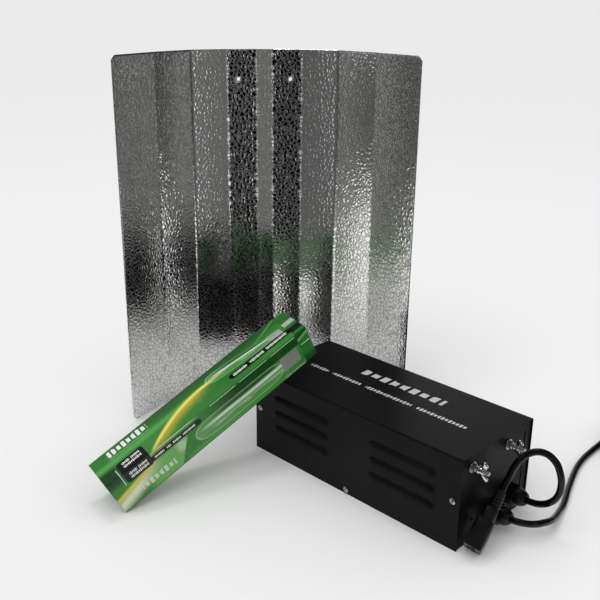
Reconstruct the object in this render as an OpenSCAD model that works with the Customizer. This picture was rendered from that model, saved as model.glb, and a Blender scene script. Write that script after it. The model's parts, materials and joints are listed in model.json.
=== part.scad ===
// Grow lamp kit: a folded hammered-aluminium wing reflector, a magnetic ballast box with its two
// leads, and a sodium lamp in its slide-out carton. Millimetres, +Z up, everything on one floor.

/* [Ballast box] */
// Length of the ballast box
box_l = 325; // [315:1:360]
// Width of the ballast box
box_w = 141; // [136:1:150]
// Height of the ballast box
box_h = 114; // [112:1:125]
// Thickness of the cover's sheet steel
cover_t = 1.2; // [0.8:0.1:1.5]
// Thickness of the chassis sheet steel
chassis_t = 1.5; // [1:0.1:2]
// Turn of the ballast box about the vertical
ballast_turn = -50; // [-60:1:-40]

/* [Louvres] */
// Length of one louvre
louvre_l = 97; // [60:1:105]
// Height of one louvre's hood
louvre_h = 8; // [6:0.5:9]
// How far a louvre's hood stands proud
louvre_out = 4; // [2:0.5:5]
// Distance between louvre rows
louvre_pitch = 21; // [16:1:24]
// Height of the middle louvre row
louvre_mid_z = 60; // [50:1:64]
// Gap between the two louvre groups on a side
louvre_gap = 64; // [40:1:70]

/* [Reflector] */
// Height of the reflector sheet
wing_h = 502; // [450:1:550]
// Thickness of the reflector sheet
wing_t = 0.8; // [0.5:0.1:1]
// Width of the centre facet
wing_centre = 23; // [15:1:30]
// Size of the corner chamfers
wing_chamfer = 6; // [2:1:10]
// Distance between the two lampholder holes
hole_gap = 72; // [60:1:80]
// Distance of the lampholder holes from the sheet's end
hole_from_end = 40; // [20:1:60]
// Radius of a lampholder hole
hole_r = 2.5; // [2:0.1:3]

/* [Lamp carton] */
// Outer side of the square sleeve
carton_w = 51; // [50:1:54]
// Length of the sleeve
sleeve_l = 287; // [280:1:300]
// Thickness of the board
board_t = 0.8; // [0.5:0.1:1]
// How far the tray stands out of the sleeve's upper end
tray_out = 18; // [0:1:25]

/* [Lamp] */
// Diameter of the lamp's glass tube
lamp_d = 46; // [40:0.5:46]
// Overall length of the lamp
lamp_l = 257; // [240:1:260]

/* [Leads] */
// Diameter of both leads
cord_d = 8; // [7:0.5:8]

/* [Hidden] */
$fn = 48;

// ---- places of the three units on the floor
ballast_at = [101.6, -55.2, 0];
reflector_at = [-34.4, 108.8, 0];
carton_reach = 216;     // from the ballast's front face to the carton's corner on the floor
carton_along = -152;    // of that corner, from the middle of the ballast's length
carton_swing = -10;     // of the carton's axis from the steepest line up to the ballast's edge
rest_gap = 0.3;         // between the carton and the edge it leans on

// ---- ballast
bend_r = 2.5;
end_inset = 1.5;        // of the chassis' end panels behind the cover's rim
slip = 0.1;             // between the cover and the chassis
flange_w = 12;
lip_h = 12;
in_w = box_w - 2 * cover_t - 2 * slip;
in_h = box_h - cover_t - 0.9;
chassis_l = box_l - 2 * end_inset;
screw_r = 1.95;
screw_in = 9;           // of the end screws from the cover's rim
screw_z = 61;
lip_screw_z = 6;
stud_r = 2.5;
stud_z = 98;
stud_s = [21, 92];      // of each stud, from the panel's front edge
wing_nut_at = 6.5;      // of a wing nut's foot, out from the panel's rim
gland_s = [99, 68];     // of the lamp gland and the mains gland, from the panel's front edge
gland_z = [33, 22];
gland_thread_r = 8;
gland_af = 22;
gland_bore_r = cord_d / 2 + 0.3;
dome_at = 4.5;
dome_end = 25;
slot_s = 127;
slot_z = [17, 102];
slot_w = 2.5;
earth_hole = [29, 28];

// ---- inside the ballast, in the box's own frame
choke_x = -62;
choke_l = 100;
choke_w = 66;
choke_h = 54;
limb_w = 22;
window_w = 10;
window_h = 34;
coil_over = 15;
foot_t = 1.5;
core_z = chassis_t + foot_t;
cap_r = 20;
cap_l = 88;
cap_at = [18, 40, chassis_t + foot_t + cap_r];
ignitor_size = [80, 38, 32];
ignitor_at = [20, -60, chassis_t];
block_size = [16, 60, 18];
block_at = [118, -36, chassis_t];

// ---- leads: round-number points [out of the panel, along the panel, up]
lamp_lead_route = [[1, 99, 33], [14, 99, 33], [28, 99, 33], [42, 99, 36], [54, 99, 44],
    [62, 98, 56], [65, 97, 71], [63, 95, 87], [56, 92, 101], [45, 87, 108], [34, 81, 106],
    [26, 75, 98], [21, 70, 87], [18.5, 66, 76], [17, 61, 67], [16.5, 57, 60]];
mains_lead_route = [[1, 68, 22], [13, 68, 22], [27, 68, 22], [39, 72, 22], [48, 81, 21],
    [52, 93, 19], [53, 105, 16], [51, 118, 12], [48, 131, 9], [44, 145, 6], [40, 160, 4],
    [34, 178, 4], [27, 196, 4], [20, 216, 4], [13, 237, 4], [7, 258, 4], [3, 280, 4],
    [1, 305, 4], [0, 330, 4], [0, 353, 5]];
tail_route = [[96, 350, 21], [97, 335, 20], [98, 322, 19]];
coil_at = [48, 375];
coil_inner = 36;
coil_wide = 2;          // turns side by side
coil_high = 3;          // turns on top of each other
tie_t = 1;
tie_w = 14;

// ---- connector and plug
connector_tip = [18, 3, 12];
connector_turn = [20, -42, 92];
connector_size = [50, 20, 27];
boot_l = 22;
plug_at = [98, 292, 18.5];
plug_r = 18.5;
plug_l = 38;
plug_boot_l = 30;
pin_r = 2.4;
pin_l = 19;
pin_gap = 19;

// ---- reflector
// each side's facets from the centre out: [width, turn away from the flat centre facet]
wing_facets = [[40, 8], [51.5, 16], [62.5, 42], [76.5, 52]];

// ---- carton and lamp
tray_gap = 0.3;
crease = 0.05;          // between two board panels that fold from each other
tray_w = carton_w - 2 * board_t - 2 * tray_gap;
carton_slope = atan((box_h + rest_gap) / carton_reach);
lamp_in = 12;           // of the lamp's dome from the tray's lower end
cap_shell_l = 38;
cap_shell_r = 19;
neck_r = 17.5;
glass_l = lamp_l - cap_shell_l - 7;

// ---------------------------------------------------------------- helpers

module on_ballast() { translate(ballast_at) rotate([0, 0, ballast_turn]) children(); }

// the cord end panel's own frame: X out of the panel, Y along it, Z up
module at_panel() { on_ballast() translate([box_l / 2, -box_w / 2, 0]) children(); }

// a round piece along the panel's outward direction
module along_x() { rotate([0, 90, 0]) children(); }

module ring(r_out, r_in, h) {
    difference() {
        cylinder(r = r_out, h = h);
        translate([0, 0, -1]) cylinder(r = r_in, h = h + 2);
    }
}

function hex_r(across_flats) = across_flats / 2 / cos(30);

module hex_nut(across_flats, bore, h) {
    difference() {
        cylinder(r = hex_r(across_flats), h = h, $fn = 6);
        translate([0, 0, -1]) cylinder(r = bore, h = h + 2);
    }
}

function unit(v) = v / norm(v);
function tangents(p) = [for (i = [0 : len(p) - 1])
    unit(p[min(i + 1, len(p) - 1)] - p[max(i - 1, 0)])];
// normals carried along the tangents without twist
function carried(t, i = 0, done = []) = i == len(t) ? done :
    let (before = i == 0 ? cross(t[0], abs(t[0].z) < 0.9 ? [0, 0, 1] : [1, 0, 0]) : done[i - 1])
    carried(t, i + 1, concat(done, [unit(before - (before * t[i]) * t[i])]));

// a round cord that follows a list of points
module tube(p, d, sides = 10) {
    t = tangents(p);
    n = carried(t);
    rings = len(p);
    points = [for (i = [0 : rings - 1], k = [0 : sides - 1])
        let (a = 360 * k / sides)
        p[i] + d / 2 * (cos(a) * n[i] + sin(a) * cross(t[i], n[i]))];
    walls = [for (i = [0 : rings - 2], k = [0 : sides - 1])
        let (a = i * sides + k, b = i * sides + (k + 1) % sides)
        each [[a, a + sides, b], [b, a + sides, b + sides]]];
    caps = [[for (k = [0 : sides - 1]) k],
        [for (k = [sides - 1 : -1 : 0]) (rings - 1) * sides + k]];
    polyhedron(points, concat(walls, caps), convexity = 6);
}

// ---------------------------------------------------------------- ballast casing

module rounded_top(w, h, r) {
    translate([-w / 2, 0]) square([w, h - r]);
    translate([-w / 2 + r, 0]) square([w - 2 * r, h]);
    for (side = [-1, 1]) translate([side * (w / 2 - r), h - r]) circle(r);
}

// places of the six cover screws: along the box, side, height
module at_cover_screws() {
    for (side = [-1, 1]) {
        for (along = [-1, 1])
            translate([along * (box_l / 2 - screw_in), side * box_w / 2, screw_z])
                rotate([side * -90, 0, 0]) children();
        translate([0, side * box_w / 2, lip_screw_z]) rotate([side * -90, 0, 0]) children();
    }
}

// a bar with ball ends along X, whose axis lies behind the face
module louvre_bar(r) {
    run = louvre_l - 2 * louvre_h;
    translate([-run / 2, 0, 0]) along_x() cylinder(r = r, h = run);
    for (side = [-1, 1]) translate([side * run / 2, 0, 0]) sphere(r = r);
}

// the bar's radius follows from the hood's height and how far it stands proud
louvre_r = (pow(louvre_h, 2) + pow(louvre_out, 2)) / (2 * louvre_out);

module louvre_space(r) {
    intersection() {
        translate([0, louvre_r - louvre_out, 0]) louvre_bar(r);
        translate([-louvre_l, -2 * louvre_r, 0]) cube([2 * louvre_l, 2 * louvre_r + 3, louvre_r]);
    }
}

module at_louvres() {
    for (side = [0, 180], group = [-1, 1], row = [-1 : 1])
        rotate([0, 0, side]) translate([group * (louvre_gap + louvre_l) / 2, -box_w / 2,
            louvre_mid_z + row * louvre_pitch]) children();
}

module cover() {
    color("#1c1d1f") on_ballast() {
        difference() {
            translate([-box_l / 2, 0, 0]) rotate([90, 0, 90]) linear_extrude(box_l)
                difference() {
                    rounded_top(box_w, box_h, bend_r);
                    translate([0, -1])
                        rounded_top(box_w - 2 * cover_t, box_h - cover_t + 1, bend_r - cover_t);
                }
            at_louvres() louvre_space(louvre_r - cover_t);
            at_cover_screws() translate([0, 0, -cover_t - 1]) cylinder(r = screw_r + 0.1, h = 4);
        }
        at_louvres() difference() {
            louvre_space(louvre_r);
            translate([-louvre_l, 0, -1]) cube([2 * louvre_l, 2 * louvre_r, 2 * louvre_r]);
            louvre_space(louvre_r - cover_t);
        }
    }
}

module chassis_end() {
    translate([chassis_l / 2 - chassis_t, -in_w / 2, 0]) cube([chassis_t, in_w, in_h]);
    for (side = [-1, 1]) translate([chassis_l / 2 - flange_w,
        side > 0 ? in_w / 2 - chassis_t : -in_w / 2, 0]) cube([flange_w, chassis_t, in_h]);
    translate([chassis_l / 2 - flange_w, -in_w / 2, in_h - chassis_t])
        cube([flange_w, in_w, chassis_t]);
}

module panel_holes() {
    for (i = [0, 1]) {
        translate([-10, gland_s[i], gland_z[i]]) along_x()
            cylinder(r = gland_thread_r + 0.15, h = 12);
        translate([-10, stud_s[i], stud_z]) along_x() cylinder(r = stud_r + 0.05, h = 12);
    }
    translate([-10, earth_hole[0], earth_hole[1]]) along_x() cylinder(r = 2.2, h = 12);
    translate([-10, slot_s - slot_w / 2, slot_z[0]])
        cube([12, slot_w, slot_z[1] - slot_z[0]]);
}

// a screw's hole through the chassis floor and a foot that stands on it
module floor_hole() { translate([0, 0, -3]) cylinder(r = screw_r + 0.05, h = 6); }

module chassis() {
    color("#232427") on_ballast() difference() {
        union() {
            translate([-chassis_l / 2, -in_w / 2, 0]) cube([chassis_l, in_w, chassis_t]);
            for (side = [0, 180]) rotate([0, 0, side]) {
                chassis_end();
                translate([-chassis_l / 2, -in_w / 2, 0]) cube([chassis_l, chassis_t, lip_h]);
            }
        }
        translate([box_l / 2, -box_w / 2, 0]) panel_holes();
        at_cover_screws() translate([0, 0, -8]) cylinder(r = screw_r + 0.05, h = 8);
        at_choke_feet() floor_hole();
        at_clamp_foot() floor_hole();
        at_earth_screw() floor_hole();
    }
}

// a pan-head screw whose head sits on the plane z = 0
module pan_screw(shank) {
    translate([0, 0, -shank]) cylinder(r = screw_r, h = shank);
    difference() {
        intersection() {
            cylinder(r = 3.8, h = 2.6);
            translate([0, 0, -3.2]) sphere(r = 5.8);
        }
        for (turn = [0, 90]) rotate([0, 0, turn]) translate([-2, -0.4, 1.4]) cube([4, 0.8, 2]);
    }
}

module cover_screws() { color("silver") on_ballast() at_cover_screws() pan_screw(7); }

// ---------------------------------------------------------------- fittings on the cord end

module at_studs() {
    for (s = stud_s) translate([-end_inset, s, stud_z]) along_x() children();
}

module mounting_studs() {
    color("silver") at_panel() at_studs() translate([0, 0, -10])
        cylinder(r = stud_r, h = 31.5);
}

module stud_washers() { color("silver") at_panel() at_studs() ring(6.5, stud_r + 0.1, 1.2); }

module stud_nuts() {
    color("silver") at_panel() at_studs() translate([0, 0, 1.2]) hex_nut(8, stud_r, 3.5);
}

module stud_inner_nuts() {
    color("silver") at_panel() at_studs() translate([0, 0, -chassis_t - 4]) hex_nut(8, stud_r, 4);
}

// a wing nut on the axis Z, foot at z = 0
module wing_nut() {
    difference() {
        union() {
            cylinder(r = 4.8, h = 1.5);
            cylinder(r = 4.1, h = 7.5);
            rotate([90, 0, 0]) translate([0, 0, -1]) linear_extrude(2) {
                for (side = [0, 1]) mirror([side, 0]) {
                    polygon([[3, 0.8], [6, 1.5], [10, 4.5], [8, 11], [5, 8], [3, 6.5]]);
                    translate([8.6, 8]) circle(3.6);
                }
            }
        }
        translate([0, 0, -1]) cylinder(r = stud_r + 0.05, h = 10);
    }
}

module wing_nut_on(i, turn) {
    color("gainsboro") at_panel() translate([wing_nut_at, stud_s[i], stud_z]) along_x()
        rotate([0, 0, turn]) wing_nut();
}

module wing_nut_front() { wing_nut_on(0, 5); }
module wing_nut_back() { wing_nut_on(1, 14); }

module at_glands() {
    for (i = [0, 1]) translate([0, gland_s[i], gland_z[i]]) along_x() children();
}

module cable_glands() {
    color("#161616") at_panel() at_glands() difference() {
        union() {
            translate([0, 0, -12]) cylinder(r = gland_thread_r, h = 28);
            translate([0, 0, -end_inset])
                cylinder(r = hex_r(gland_af), h = dome_at + end_inset - 0.3, $fn = 6);
        }
        translate([0, 0, -13]) cylinder(r = gland_bore_r, h = 30);
    }
}

module gland_domes() {
    color("#161616") at_panel() at_glands() difference() {
        union() {
            translate([0, 0, dome_at]) cylinder(r = hex_r(gland_af), h = 8, $fn = 6);
            intersection() {
                translate([0, 0, dome_at]) cylinder(r = gland_af / 2, h = dome_end - dome_at);
                translate([0, 0, dome_at + 6]) sphere(r = 15.5);
            }
        }
        translate([0, 0, dome_at - 1]) cylinder(r = gland_thread_r + 0.1, h = 13);
        translate([0, 0, dome_at + 11]) cylinder(r = 6.5, h = 7);
        translate([0, 0, dome_at]) cylinder(r = gland_bore_r, h = 30);
    }
}

module gland_seals() {
    color("#303030") at_panel() at_glands() translate([0, 0, dome_at + 12])
        ring(6.4, cord_d / 2 + 0.05, 5.8);
}

module gland_locknuts() {
    color("#161616") at_panel() at_glands() translate([0, 0, -end_inset - chassis_t - 5])
        hex_nut(gland_af, gland_thread_r + 0.05, 5);
}

// ---------------------------------------------------------------- inside the ballast

module choke_core() {
    color("slategray") on_ballast() translate([choke_x - choke_l / 2, 0, core_z])
        rotate([90, 0, 90]) linear_extrude(choke_l) difference() {
            translate([-choke_w / 2, 0]) square([choke_w, choke_h]);
            for (side = [-1, 1]) translate([side * (limb_w + window_w) / 2, choke_h / 2])
                square([window_w, window_h], center = true);
        }
}

module choke_coil() {
    outer_l = choke_l + 2 * coil_over;
    outer_w = limb_w + 2 * window_w - 0.6;
    color("peru") on_ballast()
        translate([choke_x, 0, core_z + choke_h / 2 - window_h / 2 + 0.3])
            linear_extrude(window_h - 0.6) difference() {
                union() {
                    square([outer_l - 12, outer_w], center = true);
                    square([outer_l, outer_w - 12], center = true);
                    for (x = [-1, 1], y = [-1, 1])
                        translate([x * (outer_l / 2 - 6), y * (outer_w / 2 - 6)]) circle(6);
                }
                square([choke_l + 0.6, limb_w + 0.6], center = true);
            }
}

module at_choke_feet() {
    for (x = [-1, 1], y = [-1, 1])
        translate([choke_x + x * 26, y * (choke_w / 2 + 8), chassis_t]) children();
}

// one strap over the core at each end, with a foot on both sides
module choke_bracket() {
    strap_l = 18;
    color("lightsteelblue") on_ballast() difference() {
        for (x = [-1, 1]) translate([choke_x + x * 26 - strap_l / 2, 0, chassis_t]) {
            for (y = [0, 1]) mirror([0, y, 0]) {
                translate([0, choke_w / 2, 0]) cube([strap_l, 15, foot_t]);
                translate([0, choke_w / 2, 0]) cube([strap_l, foot_t, choke_h + 2 * foot_t]);
            }
            translate([0, -choke_w / 2, 0]) cube([strap_l, choke_w, foot_t]);
            translate([0, -choke_w / 2, choke_h + foot_t]) cube([strap_l, choke_w, foot_t]);
        }
        at_choke_feet() floor_hole();
    }
}

// the screws of the choke's feet and of the capacitor's clamp
module inner_screws() {
    color("silver") on_ballast() {
        at_choke_feet() translate([0, 0, foot_t]) pan_screw(foot_t + chassis_t - 0.1);
        at_clamp_foot() translate([0, 0, foot_t]) pan_screw(foot_t + chassis_t - 0.1);
    }
}

module capacitor_can() {
    color("gainsboro") on_ballast() translate(cap_at) along_x() cylinder(r = cap_r, h = cap_l);
}

module capacitor_top() {
    color("#202020") on_ballast() translate([cap_at.x + cap_l, cap_at.y, cap_at.z]) along_x() {
        cylinder(r = cap_r - 2, h = 2);
        for (side = [-1, 1]) translate([-0.4, side * 7 - 3.2, 2]) cube([0.8, 6.4, 8]);
    }
}

module at_clamp_foot() {
    translate([cap_at.x + 30, cap_at.y - cap_r - 8, chassis_t]) children();
}

module capacitor_clamp() {
    clamp_l = 16;
    color("silver") on_ballast() difference() {
        union() {
            translate([cap_at.x + 30 - clamp_l / 2, cap_at.y, cap_at.z]) along_x()
                ring(cap_r + foot_t, cap_r + 0.05, clamp_l);
            translate([cap_at.x + 30 - clamp_l / 2, cap_at.y - cap_r - 14, chassis_t])
                cube([clamp_l, cap_r + 14, foot_t]);
        }
        translate([cap_at.x, cap_at.y, cap_at.z]) along_x() cylinder(r = cap_r + 0.05, h = 60);
        at_clamp_foot() floor_hole();
    }
}

module ignitor_case() {
    color("white") on_ballast() translate(ignitor_at) {
        cube(ignitor_size);
        translate([ignitor_size.x, ignitor_size.y / 2 - 9, 6]) cube([5, 18, 14]);
    }
}

module at_terminals() {
    for (i = [0 : 4]) translate([block_at.x + block_size.x / 2,
        block_at.y + block_size.y * (i + 0.5) / 5, block_at.z + block_size.z]) children();
}

module terminal_block() {
    color("ivory") on_ballast() difference() {
        translate(block_at) cube(block_size);
        at_terminals() {
            translate([0, 0, -8]) cylinder(r = 2.6, h = 9);
            translate([-20, 0, -10]) along_x() cylinder(r = 2, h = 40);
        }
        for (i = [1 : 4]) translate([block_at.x - 1,
            block_at.y + block_size.y * i / 5 - 0.6, block_at.z + 5]) cube([20, 1.2, 20]);
    }
}

module terminal_screws() {
    color("gold") on_ballast() at_terminals() translate([0, 0, -7.8]) difference() {
        cylinder(r = 2.5, h = 5);
        translate([-3, -0.4, 4]) cube([6, 0.8, 2]);
    }
}

module at_earth_screw() { translate([138, 48, chassis_t]) children(); }

module earth_screw() {
    color("silver") on_ballast() at_earth_screw() pan_screw(chassis_t - 0.1);
}

wire_d = 2.4;
// the height at which wires enter the terminal block, and the block's two sides
wire_z = block_at.z + block_size.z - 10;
block_back = block_at.x + block_size.x;

function terminal_y(i) = block_at.y + block_size.y * (i + 0.5) / 5;

// from a gland to the terminal block's near side
function gland_wire(gland, drop, i) = let (y = gland_s[gland] - box_w / 2) [
    [150, y, gland_z[gland] + drop], [146, y, gland_z[gland] + drop],
    [141, (y + terminal_y(i)) / 2, (gland_z[gland] + drop + wire_z) / 2],
    [137, terminal_y(i), wire_z], [block_back - 3, terminal_y(i), wire_z]];

module brown_wires() {
    color("saddlebrown") on_ballast() {
        tube(gland_wire(1, 1.5, 0), wire_d, 8);
        tube(gland_wire(0, 1.5, 3), wire_d, 8);
        tube([[block_at.x + 3, terminal_y(1), wire_z], [110, terminal_y(1), wire_z],
            [100, -8, 30], [60, -2, 50], [25, 0, 48], [10, 0, 42], [4.5, 0, 40]], wire_d, 8);
    }
}

module blue_wires() {
    color("royalblue") on_ballast() {
        tube(gland_wire(1, -1.5, 1), wire_d, 8);
        tube(gland_wire(0, -1.5, 4), wire_d, 8);
    }
}

module earth_wire() {
    color("yellowgreen") on_ballast() tube([[block_at.x + 3, terminal_y(2), wire_z],
        [113, terminal_y(2), wire_z], [108, 2, 24], [112, 12, 38], [124, 30, 42], [134, 42, 30],
        [138, 48, 14], [138, 48, chassis_t + 2.8]], wire_d, 8);
}

// ---------------------------------------------------------------- lamp lead

module at_connector() {
    at_panel() translate(connector_tip) rotate(connector_turn) children();
}

module lamp_lead() { color("#101010") at_panel() tube(lamp_lead_route, cord_d); }

module connector_boot() {
    ribs = 5;
    color("#101010") at_connector() translate([connector_size.x, 0, 0]) along_x() {
        cylinder(r1 = 7.5, r2 = 5.2, h = boot_l);
        for (i = [0 : ribs - 1]) translate([0, 0, 2 + i * 4]) cylinder(r = 7.8 - 0.45 * i, h = 2);
    }
}

module lamp_connector() {
    color("#101010") at_connector() difference() {
        union() {
            translate([0, -connector_size.y / 2, -connector_size.z / 2])
                cube([34, connector_size.y, connector_size.z]);
            translate([34, -connector_size.y / 2 + 2, -connector_size.z / 2 + 4])
                cube([connector_size.x - 34, connector_size.y - 4, connector_size.z - 8]);
        }
        for (side = [-1 : 1]) translate([-1, side == 0 ? 1.5 : -3.5, side * 7 - 1])
            cube([13, 4.5, 2]);
    }
}

// ---------------------------------------------------------------- mains lead

module mains_lead() {
    color("#101010") at_panel() {
        tube(mains_lead_route, cord_d);
        tube(tail_route, cord_d);
    }
}

module mains_lead_coil() {
    color("#101010") at_panel() translate([coil_at[0], coil_at[1], tie_t])
        ring(coil_inner + coil_wide * cord_d, coil_inner, coil_high * cord_d);
}

module coil_tie() {
    wide = coil_wide * cord_d;
    high = coil_high * cord_d;
    color("dimgray") at_panel() translate([coil_at[0], coil_at[1], 0]) rotate([0, 0, 90])
        difference() {
            translate([coil_inner - tie_t - 2, -tie_w / 2, 0])
                cube([wide + 2 * tie_t + 4, tie_w, high + 2 * tie_t]);
            translate([coil_inner - 2, -tie_w, tie_t]) cube([wide + 4, 2 * tie_w, high]);
        }
}

module at_plug() { at_panel() translate(plug_at) rotate([0, 0, 90]) children(); }

module plug_boot() {
    color("#101010") at_plug() along_x() cylinder(r1 = 8, r2 = 5.2, h = plug_boot_l);
}

module mains_plug() {
    color("#101010") at_plug() translate([-plug_l, 0, 0]) along_x() difference() {
        union() {
            cylinder(r = plug_r, h = 24);
            translate([0, 0, 24]) cylinder(r1 = plug_r - 1, r2 = 9, h = plug_l - 24);
        }
        for (side = [-1, 1]) translate([0, side * pin_gap / 2, -1])
            cylinder(r = pin_r - 0.3, h = 11);
    }
}

module plug_pins() {
    color("silver") at_plug() translate([-plug_l - pin_l, 0, 0]) along_x()
        for (side = [-1, 1]) translate([0, side * pin_gap / 2, 0]) {
            translate([0, 0, 1.5]) cylinder(r = pin_r, h = pin_l - 1.5);
            translate([0, 0, pin_l]) cylinder(r = pin_r - 0.3, h = 10);
            intersection() {
                cylinder(r = pin_r, h = 1.5);
                translate([0, 0, 2.6]) sphere(r = 2.9);
            }
        }
}

// ---------------------------------------------------------------- reflector

// the folds on one side of the centre: [across, back], the centre facet lying at back = 0
function folds(i = 0, at = [wing_centre / 2, 0], done = []) =
    i == len(wing_facets) ? concat(done, [at]) :
    let (w = wing_facets[i][0], a = wing_facets[i][1])
    folds(i + 1, at + w * [cos(a), -sin(a)], concat(done, [at]));

half = folds();
wing_depth = -half[len(half) - 1].y;

// the same folds one sheet thickness further back, mitred at each fold
function turn_at(i) = i == 0 ? [0, wing_facets[0][1]] :
    i == len(half) - 1 ? [wing_facets[i - 1][1], wing_facets[i - 1][1]] :
    [wing_facets[i - 1][1], wing_facets[i][1]];
function behind(i) = let (a = turn_at(i), mid = (a[0] + a[1]) / 2, lean = (a[1] - a[0]) / 2)
    half[i] + wing_t / cos(lean) * [sin(mid), cos(mid)];

function flipped(p) = [-p.x, p.y];
last = len(half) - 1;
wing_outline = concat(
    [for (i = [last : -1 : 0]) flipped(half[i])], [for (i = [0 : last]) half[i]],
    [for (i = [last : -1 : 0]) behind(i)], [for (i = [0 : last]) flipped(behind(i))]);

module wing_corner_cut() {
    edge_turn = wing_facets[last - 1][1];
    translate([half[last].x, half[last].y, 0]) rotate([0, 0, -edge_turn]) rotate([0, 45, 0])
        cube([wing_chamfer * sqrt(2), 20, wing_chamfer * sqrt(2)], center = true);
}

module reflector_sheet() {
    color("lightgray") translate(reflector_at + [0, wing_depth, 0]) difference() {
        linear_extrude(wing_h) polygon(wing_outline);
        for (side = [0, 1]) mirror([side, 0, 0]) {
            wing_corner_cut();
            translate([0, 0, wing_h]) wing_corner_cut();
            for (z = [hole_from_end, wing_h - hole_from_end])
                translate([hole_gap / 2, 10, z]) rotate([90, 0, 0]) cylinder(r = hole_r, h = 30);
        }
    }
}

// ---------------------------------------------------------------- carton

// the carton's own frame: X up its axis, Z out of the face that leans on the ballast's edge
module at_carton() {
    on_ballast() translate([carton_along, -box_w / 2 - carton_reach, 0])
        rotate([0, 0, 90]) rotate([0, -carton_slope, 0]) rotate([0, 0, carton_swing]) children();
}

// two upright board walls that face each other, between the boards below and above them
module side_walls(length, width, height) {
    for (y = [0, width - board_t])
        translate([0, y, board_t + crease]) cube([length, board_t, height]);
}

// the sleeve's four walls, cut through along their creases
module carton_sleeve() {
    color("forestgreen") at_carton() {
        for (z = [0, carton_w - board_t])
            translate([0, 0, z]) cube([sleeve_l, carton_w, board_t]);
        side_walls(sleeve_l, carton_w, carton_w - 2 * board_t - 2 * crease);
    }
}

// the tray's own frame, at its lower end
module at_tray() {
    inset = board_t + tray_gap;
    at_carton() translate([tray_out, inset, inset]) children();
}

// the tray's long wall at the front, two beside it and its ends, cut through along their creases
// and open at the back
module carton_tray() {
    depth = tray_w - board_t - crease;
    color("darkgreen") at_tray() translate([0, 0, tray_w]) rotate([-90, 0, 0]) {
        cube([sleeve_l, tray_w, board_t]);
        side_walls(sleeve_l, tray_w, depth);
        for (x = [0, sleeve_l - board_t])
            translate([x, board_t + crease, board_t + crease])
                cube([board_t, tray_w - 2 * board_t - 2 * crease, depth]);
    }
}

// the lamp's axis, from the dome's tip towards the cap
module on_lamp_axis() {
    at_tray() translate([lamp_in, tray_w / 2, tray_w / 2]) along_x() children();
}

module lamp_collars() {
    side = tray_w - 2 * board_t - 0.2;
    color("tan") on_lamp_axis() for (place = [[8, 19.3], [lamp_l - 22, cap_shell_r + 2]])
        translate([0, 0, place[0]]) difference() {
            translate([-side / 2, -side / 2, 0]) cube([side, side, 2]);
            translate([0, 0, -1]) cylinder(r = place[1], h = 4);
        }
}

// ---------------------------------------------------------------- lamp

glass_t = 1;

// the outside or inside of the glass: a dome, a tube and a shoulder down to the neck
module glass_body(r, shoulder_r) {
    tube_end = glass_l - 26;
    translate([0, 0, lamp_d / 2]) sphere(r = r);
    translate([0, 0, lamp_d / 2]) cylinder(r = r, h = tube_end - lamp_d / 2);
    translate([0, 0, tube_end]) cylinder(r1 = r, r2 = shoulder_r, h = 14);
    translate([0, 0, tube_end + 14]) cylinder(r = shoulder_r, h = 12);
}

module lamp_glass() {
    color("white", 0.35) on_lamp_axis() difference() {
        glass_body(lamp_d / 2, neck_r);
        difference() {
            glass_body(lamp_d / 2 - glass_t, neck_r - glass_t);
            translate([0, 0, glass_l - 6]) cylinder(r = 30, h = 10);
        }
    }
}

arc_at = 62;
arc_l = 96;

module arc_tube() {
    color("snow") on_lamp_axis() translate([0, 0, arc_at]) {
        cylinder(r = 4.5, h = arc_l);
        for (z = [-6, arc_l]) translate([0, 0, z]) cylinder(r = 2, h = 6);
    }
}

module lamp_frame() {
    color("darkgray") on_lamp_axis() {
        translate([12, 0, 40]) cylinder(r = 1, h = 138);
        for (z = [arc_at - 7, arc_at + arc_l + 7]) translate([0, -1, z - 1]) cube([12, 2, 2]);
        translate([0, 0, 39]) ring(13, 11, 2);
    }
}

module lamp_stem() {
    color("whitesmoke") on_lamp_axis() translate([0, 0, 170]) {
        difference() {
            cylinder(r = 6, h = glass_l - 176);
            translate([12, 0, -1]) cylinder(r = 1.2, h = 12);
        }
        translate([-9, -2.5, 1]) cube([20, 5, 7]);
    }
}

// an Edison cap: a shell with a rounded thread of stacked rings
module lamp_cap() {
    pitch = 6.35;
    color("gold") on_lamp_axis() translate([0, 0, glass_l]) difference() {
        union() {
            cylinder(r = cap_shell_r - 1.2, h = cap_shell_l);
            for (i = [0 : 4]) translate([0, 0, 5 + i * pitch])
                rotate_extrude() translate([cap_shell_r - 1.8, 0]) circle(2.2);
        }
        translate([0, 0, -1]) cylinder(r = cap_shell_r - 2.2, h = cap_shell_l - 1);
    }
}

module cap_insulator() {
    color("#251a33") on_lamp_axis() translate([0, 0, glass_l + cap_shell_l])
        cylinder(r1 = 14, r2 = 9, h = 5);
}

module cap_contact() {
    color("silver") on_lamp_axis() translate([0, 0, glass_l + cap_shell_l + 5])
        cylinder(r1 = 7, r2 = 4, h = 2);
}

// ---------------------------------------------------------------- nodes

chassis();
cover();
cover_screws();
mounting_studs();
stud_washers();
stud_nuts();
stud_inner_nuts();
wing_nut_front();
wing_nut_back();
cable_glands();
gland_domes();
gland_locknuts();
gland_seals();
choke_core();
choke_coil();
choke_bracket();
inner_screws();
capacitor_can();
capacitor_top();
capacitor_clamp();
ignitor_case();
terminal_block();
terminal_screws();
earth_screw();
brown_wires();
blue_wires();
earth_wire();
lamp_lead();
connector_boot();
lamp_connector();
mains_lead();
mains_lead_coil();
coil_tie();
plug_boot();
mains_plug();
plug_pins();
reflector_sheet();
carton_sleeve();
carton_tray();
lamp_collars();
lamp_glass();
arc_tube();
lamp_frame();
lamp_stem();
lamp_cap();
cap_insulator();
cap_contact();
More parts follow.
